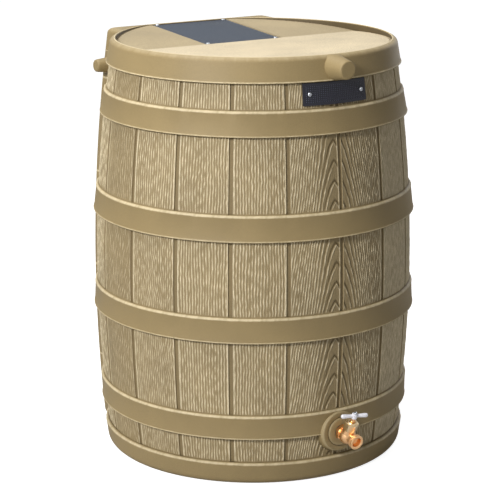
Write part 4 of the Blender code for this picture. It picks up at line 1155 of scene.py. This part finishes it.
# black plastic lifted to blue-grey: a painted reflection of the bright sky on the hatch screen
SCREEN_PAINTED_SHEEN = plastic("screen_black_painted_sheen", (0.052, 0.066, 0.090), 0.5)
SCREEN_BLACK = plastic("screen_black", (0.012, 0.012, 0.020), 0.42)
GAUZE = plastic("gauze", (0.20, 0.22, 0.30), 0.5)
ZINC = metal("zinc", (0.62, 0.64, 0.68), 0.32)
BRASS = metal("brass", (0.92, 0.56, 0.29), 0.27)
# the same brass painted paler: a painted highlight for the key light on the nut's faces
NUT_BRASS_PAINTED_HIGHLIGHT = metal("nut_brass_painted_highlight", (0.90, 0.72, 0.46), 0.30)
WHITE = metal("white_enamel", (0.82, 0.81, 0.86), 0.3, 0.0)
RUBBER = plastic("rubber", (0.02, 0.02, 0.02), 0.8)

# -------- the object
tier_edges = [BASE_BAND_TOP]
for bottom, height in HOOP_BANDS:
    tier_edges += [bottom, bottom + height]
tier_edges.append(RIM_BAND_BOTTOM)
for tier in range(5):
    stave_tier(f"stave_tier_{tier + 1}", tier, tier_edges[2 * tier], tier_edges[2 * tier + 1],
               STAVE)
for number, (bottom, height) in enumerate(HOOP_BANDS, start=1):
    hoop(f"hoop_{number}", bottom, height, SEED + 40 + number, BAND)
base_band(BAND)
rim_band(BAND)
deck(DECK)
ports(BAND)
spigot_pad(BAND)
hatch_screen(SCREEN_PAINTED_SHEEN)
overflow_screen(SCREEN_BLACK, GAUZE)
for number, spot in enumerate(hatch_screw_places(), start=1):
    screw_head(f"hatch_screw_head_{number}", spot, f"hatch_screw_{number}", ZINC)
for number, spot in enumerate(overflow_screw_places(), start=1):
    screw_head(f"overflow_screw_head_{number}", spot, f"overflow_screw_{number}", ZINC)
spigot_body(BRASS)
packing_nut(NUT_BRASS_PAINTED_HIGHLIGHT)
handle(WHITE)
screw_head("handle_screw_head", STEM_FRAME @ Matrix.Translation((0, 0, HANDLE_TOP)),
           "handle_screw", ZINC, "valve_stem", HANDLE_SCREW_RADIUS, HANDLE_SCREW_HEIGHT)

for name, finish_material in (("spigot_insert", BRASS), ("spigot_gasket", RUBBER),
                              ("friction_ring", BRASS), ("stem_packing", RUBBER),
                              ("stem", BRASS), ("seat_washer", RUBBER),
                              ("washer_screw", BRASS)):
    cad_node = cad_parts[name]
    cad_node.data.materials.clear()
    cad_node.data.materials.append(finish_material)

# -------- floor, light and camera
deselect()
bpy.ops.mesh.primitive_plane_add(size=14.0, location=(0, 2.0, -0.0005))
floor = bpy.context.object
floor.name = "floor"
floor_material, floor_tree, floor_shader = material("pale_floor")
floor_shader.inputs["Base Color"].default_value = (0.55, 0.55, 0.55, 1)
floor_shader.inputs["Roughness"].default_value = 0.9
floor_shader.inputs["Emission Color"].default_value = (1, 1, 1, 1)
seen = floor_tree.nodes.new('ShaderNodeLightPath')
link(floor_tree, maths(floor_tree, 'MULTIPLY', seen.outputs["Is Camera Ray"], 0.9),
     floor_shader.inputs["Emission Strength"])
floor.data.materials.append(floor_material)


def area_light(name, spot, target, size, power):
    data = bpy.data.lights.new(name, 'AREA')
    data.shape = 'RECTANGLE'
    data.size, data.size_y = size
    data.energy = power
    light = bpy.data.objects.new(name, data)
    light.matrix_world = aim(spot, Vector(spot) - Vector(target))
    bpy.context.scene.collection.objects.link(light)


area_light("key", (-3.2, -1.5, 2.3), (0, 0, 0.5), (0.8, 0.8), 135)
area_light("top", (-0.6, 0.3, 3.2), (0, 0, 0.7), (1.6, 1.6), 62)
area_light("edge", (2.6, 1.2, 1.2), (0, 0, 0.4), (0.8, 1.6), 10)

# soft fill on the object, brighter in its reflections and white to the camera
world = bpy.data.worlds.new("studio")
world.use_nodes = True
bpy.context.scene.world = world
sky_tree = world.node_tree
fill = sky_tree.nodes["Background"]
fill.inputs["Color"].default_value = (1, 1, 1, 1)
fill.inputs["Strength"].default_value = 0.18
white = sky_tree.nodes.new('ShaderNodeBackground')
rays = sky_tree.nodes.new('ShaderNodeLightPath')
choose = sky_tree.nodes.new('ShaderNodeMixShader')
bright = maths(sky_tree, 'MULTIPLY_ADD', rays.outputs["Is Glossy Ray"], 0.75,
               rays.outputs["Is Camera Ray"])
for source, target in ((bright, choose.inputs[0]), (fill.outputs[0], choose.inputs[1]),
                       (white.outputs[0], choose.inputs[2]),
                       (choose.outputs[0], sky_tree.nodes["World Output"].inputs["Surface"])):
    link(sky_tree, source, target)

camera_data = bpy.data.cameras.new("camera")
camera_data.lens = 134.5
camera_data.sensor_width = 36.0
camera = bpy.data.objects.new("camera", camera_data)
camera.location = (-1.8647, -2.9714, 1.294)
camera.rotation_euler = (math.radians(75.29), 0.0, math.radians(-32.0))
bpy.context.scene.collection.objects.link(camera)
bpy.context.scene.camera = camera
bpy.context.scene.view_settings.view_transform = 'Standard'
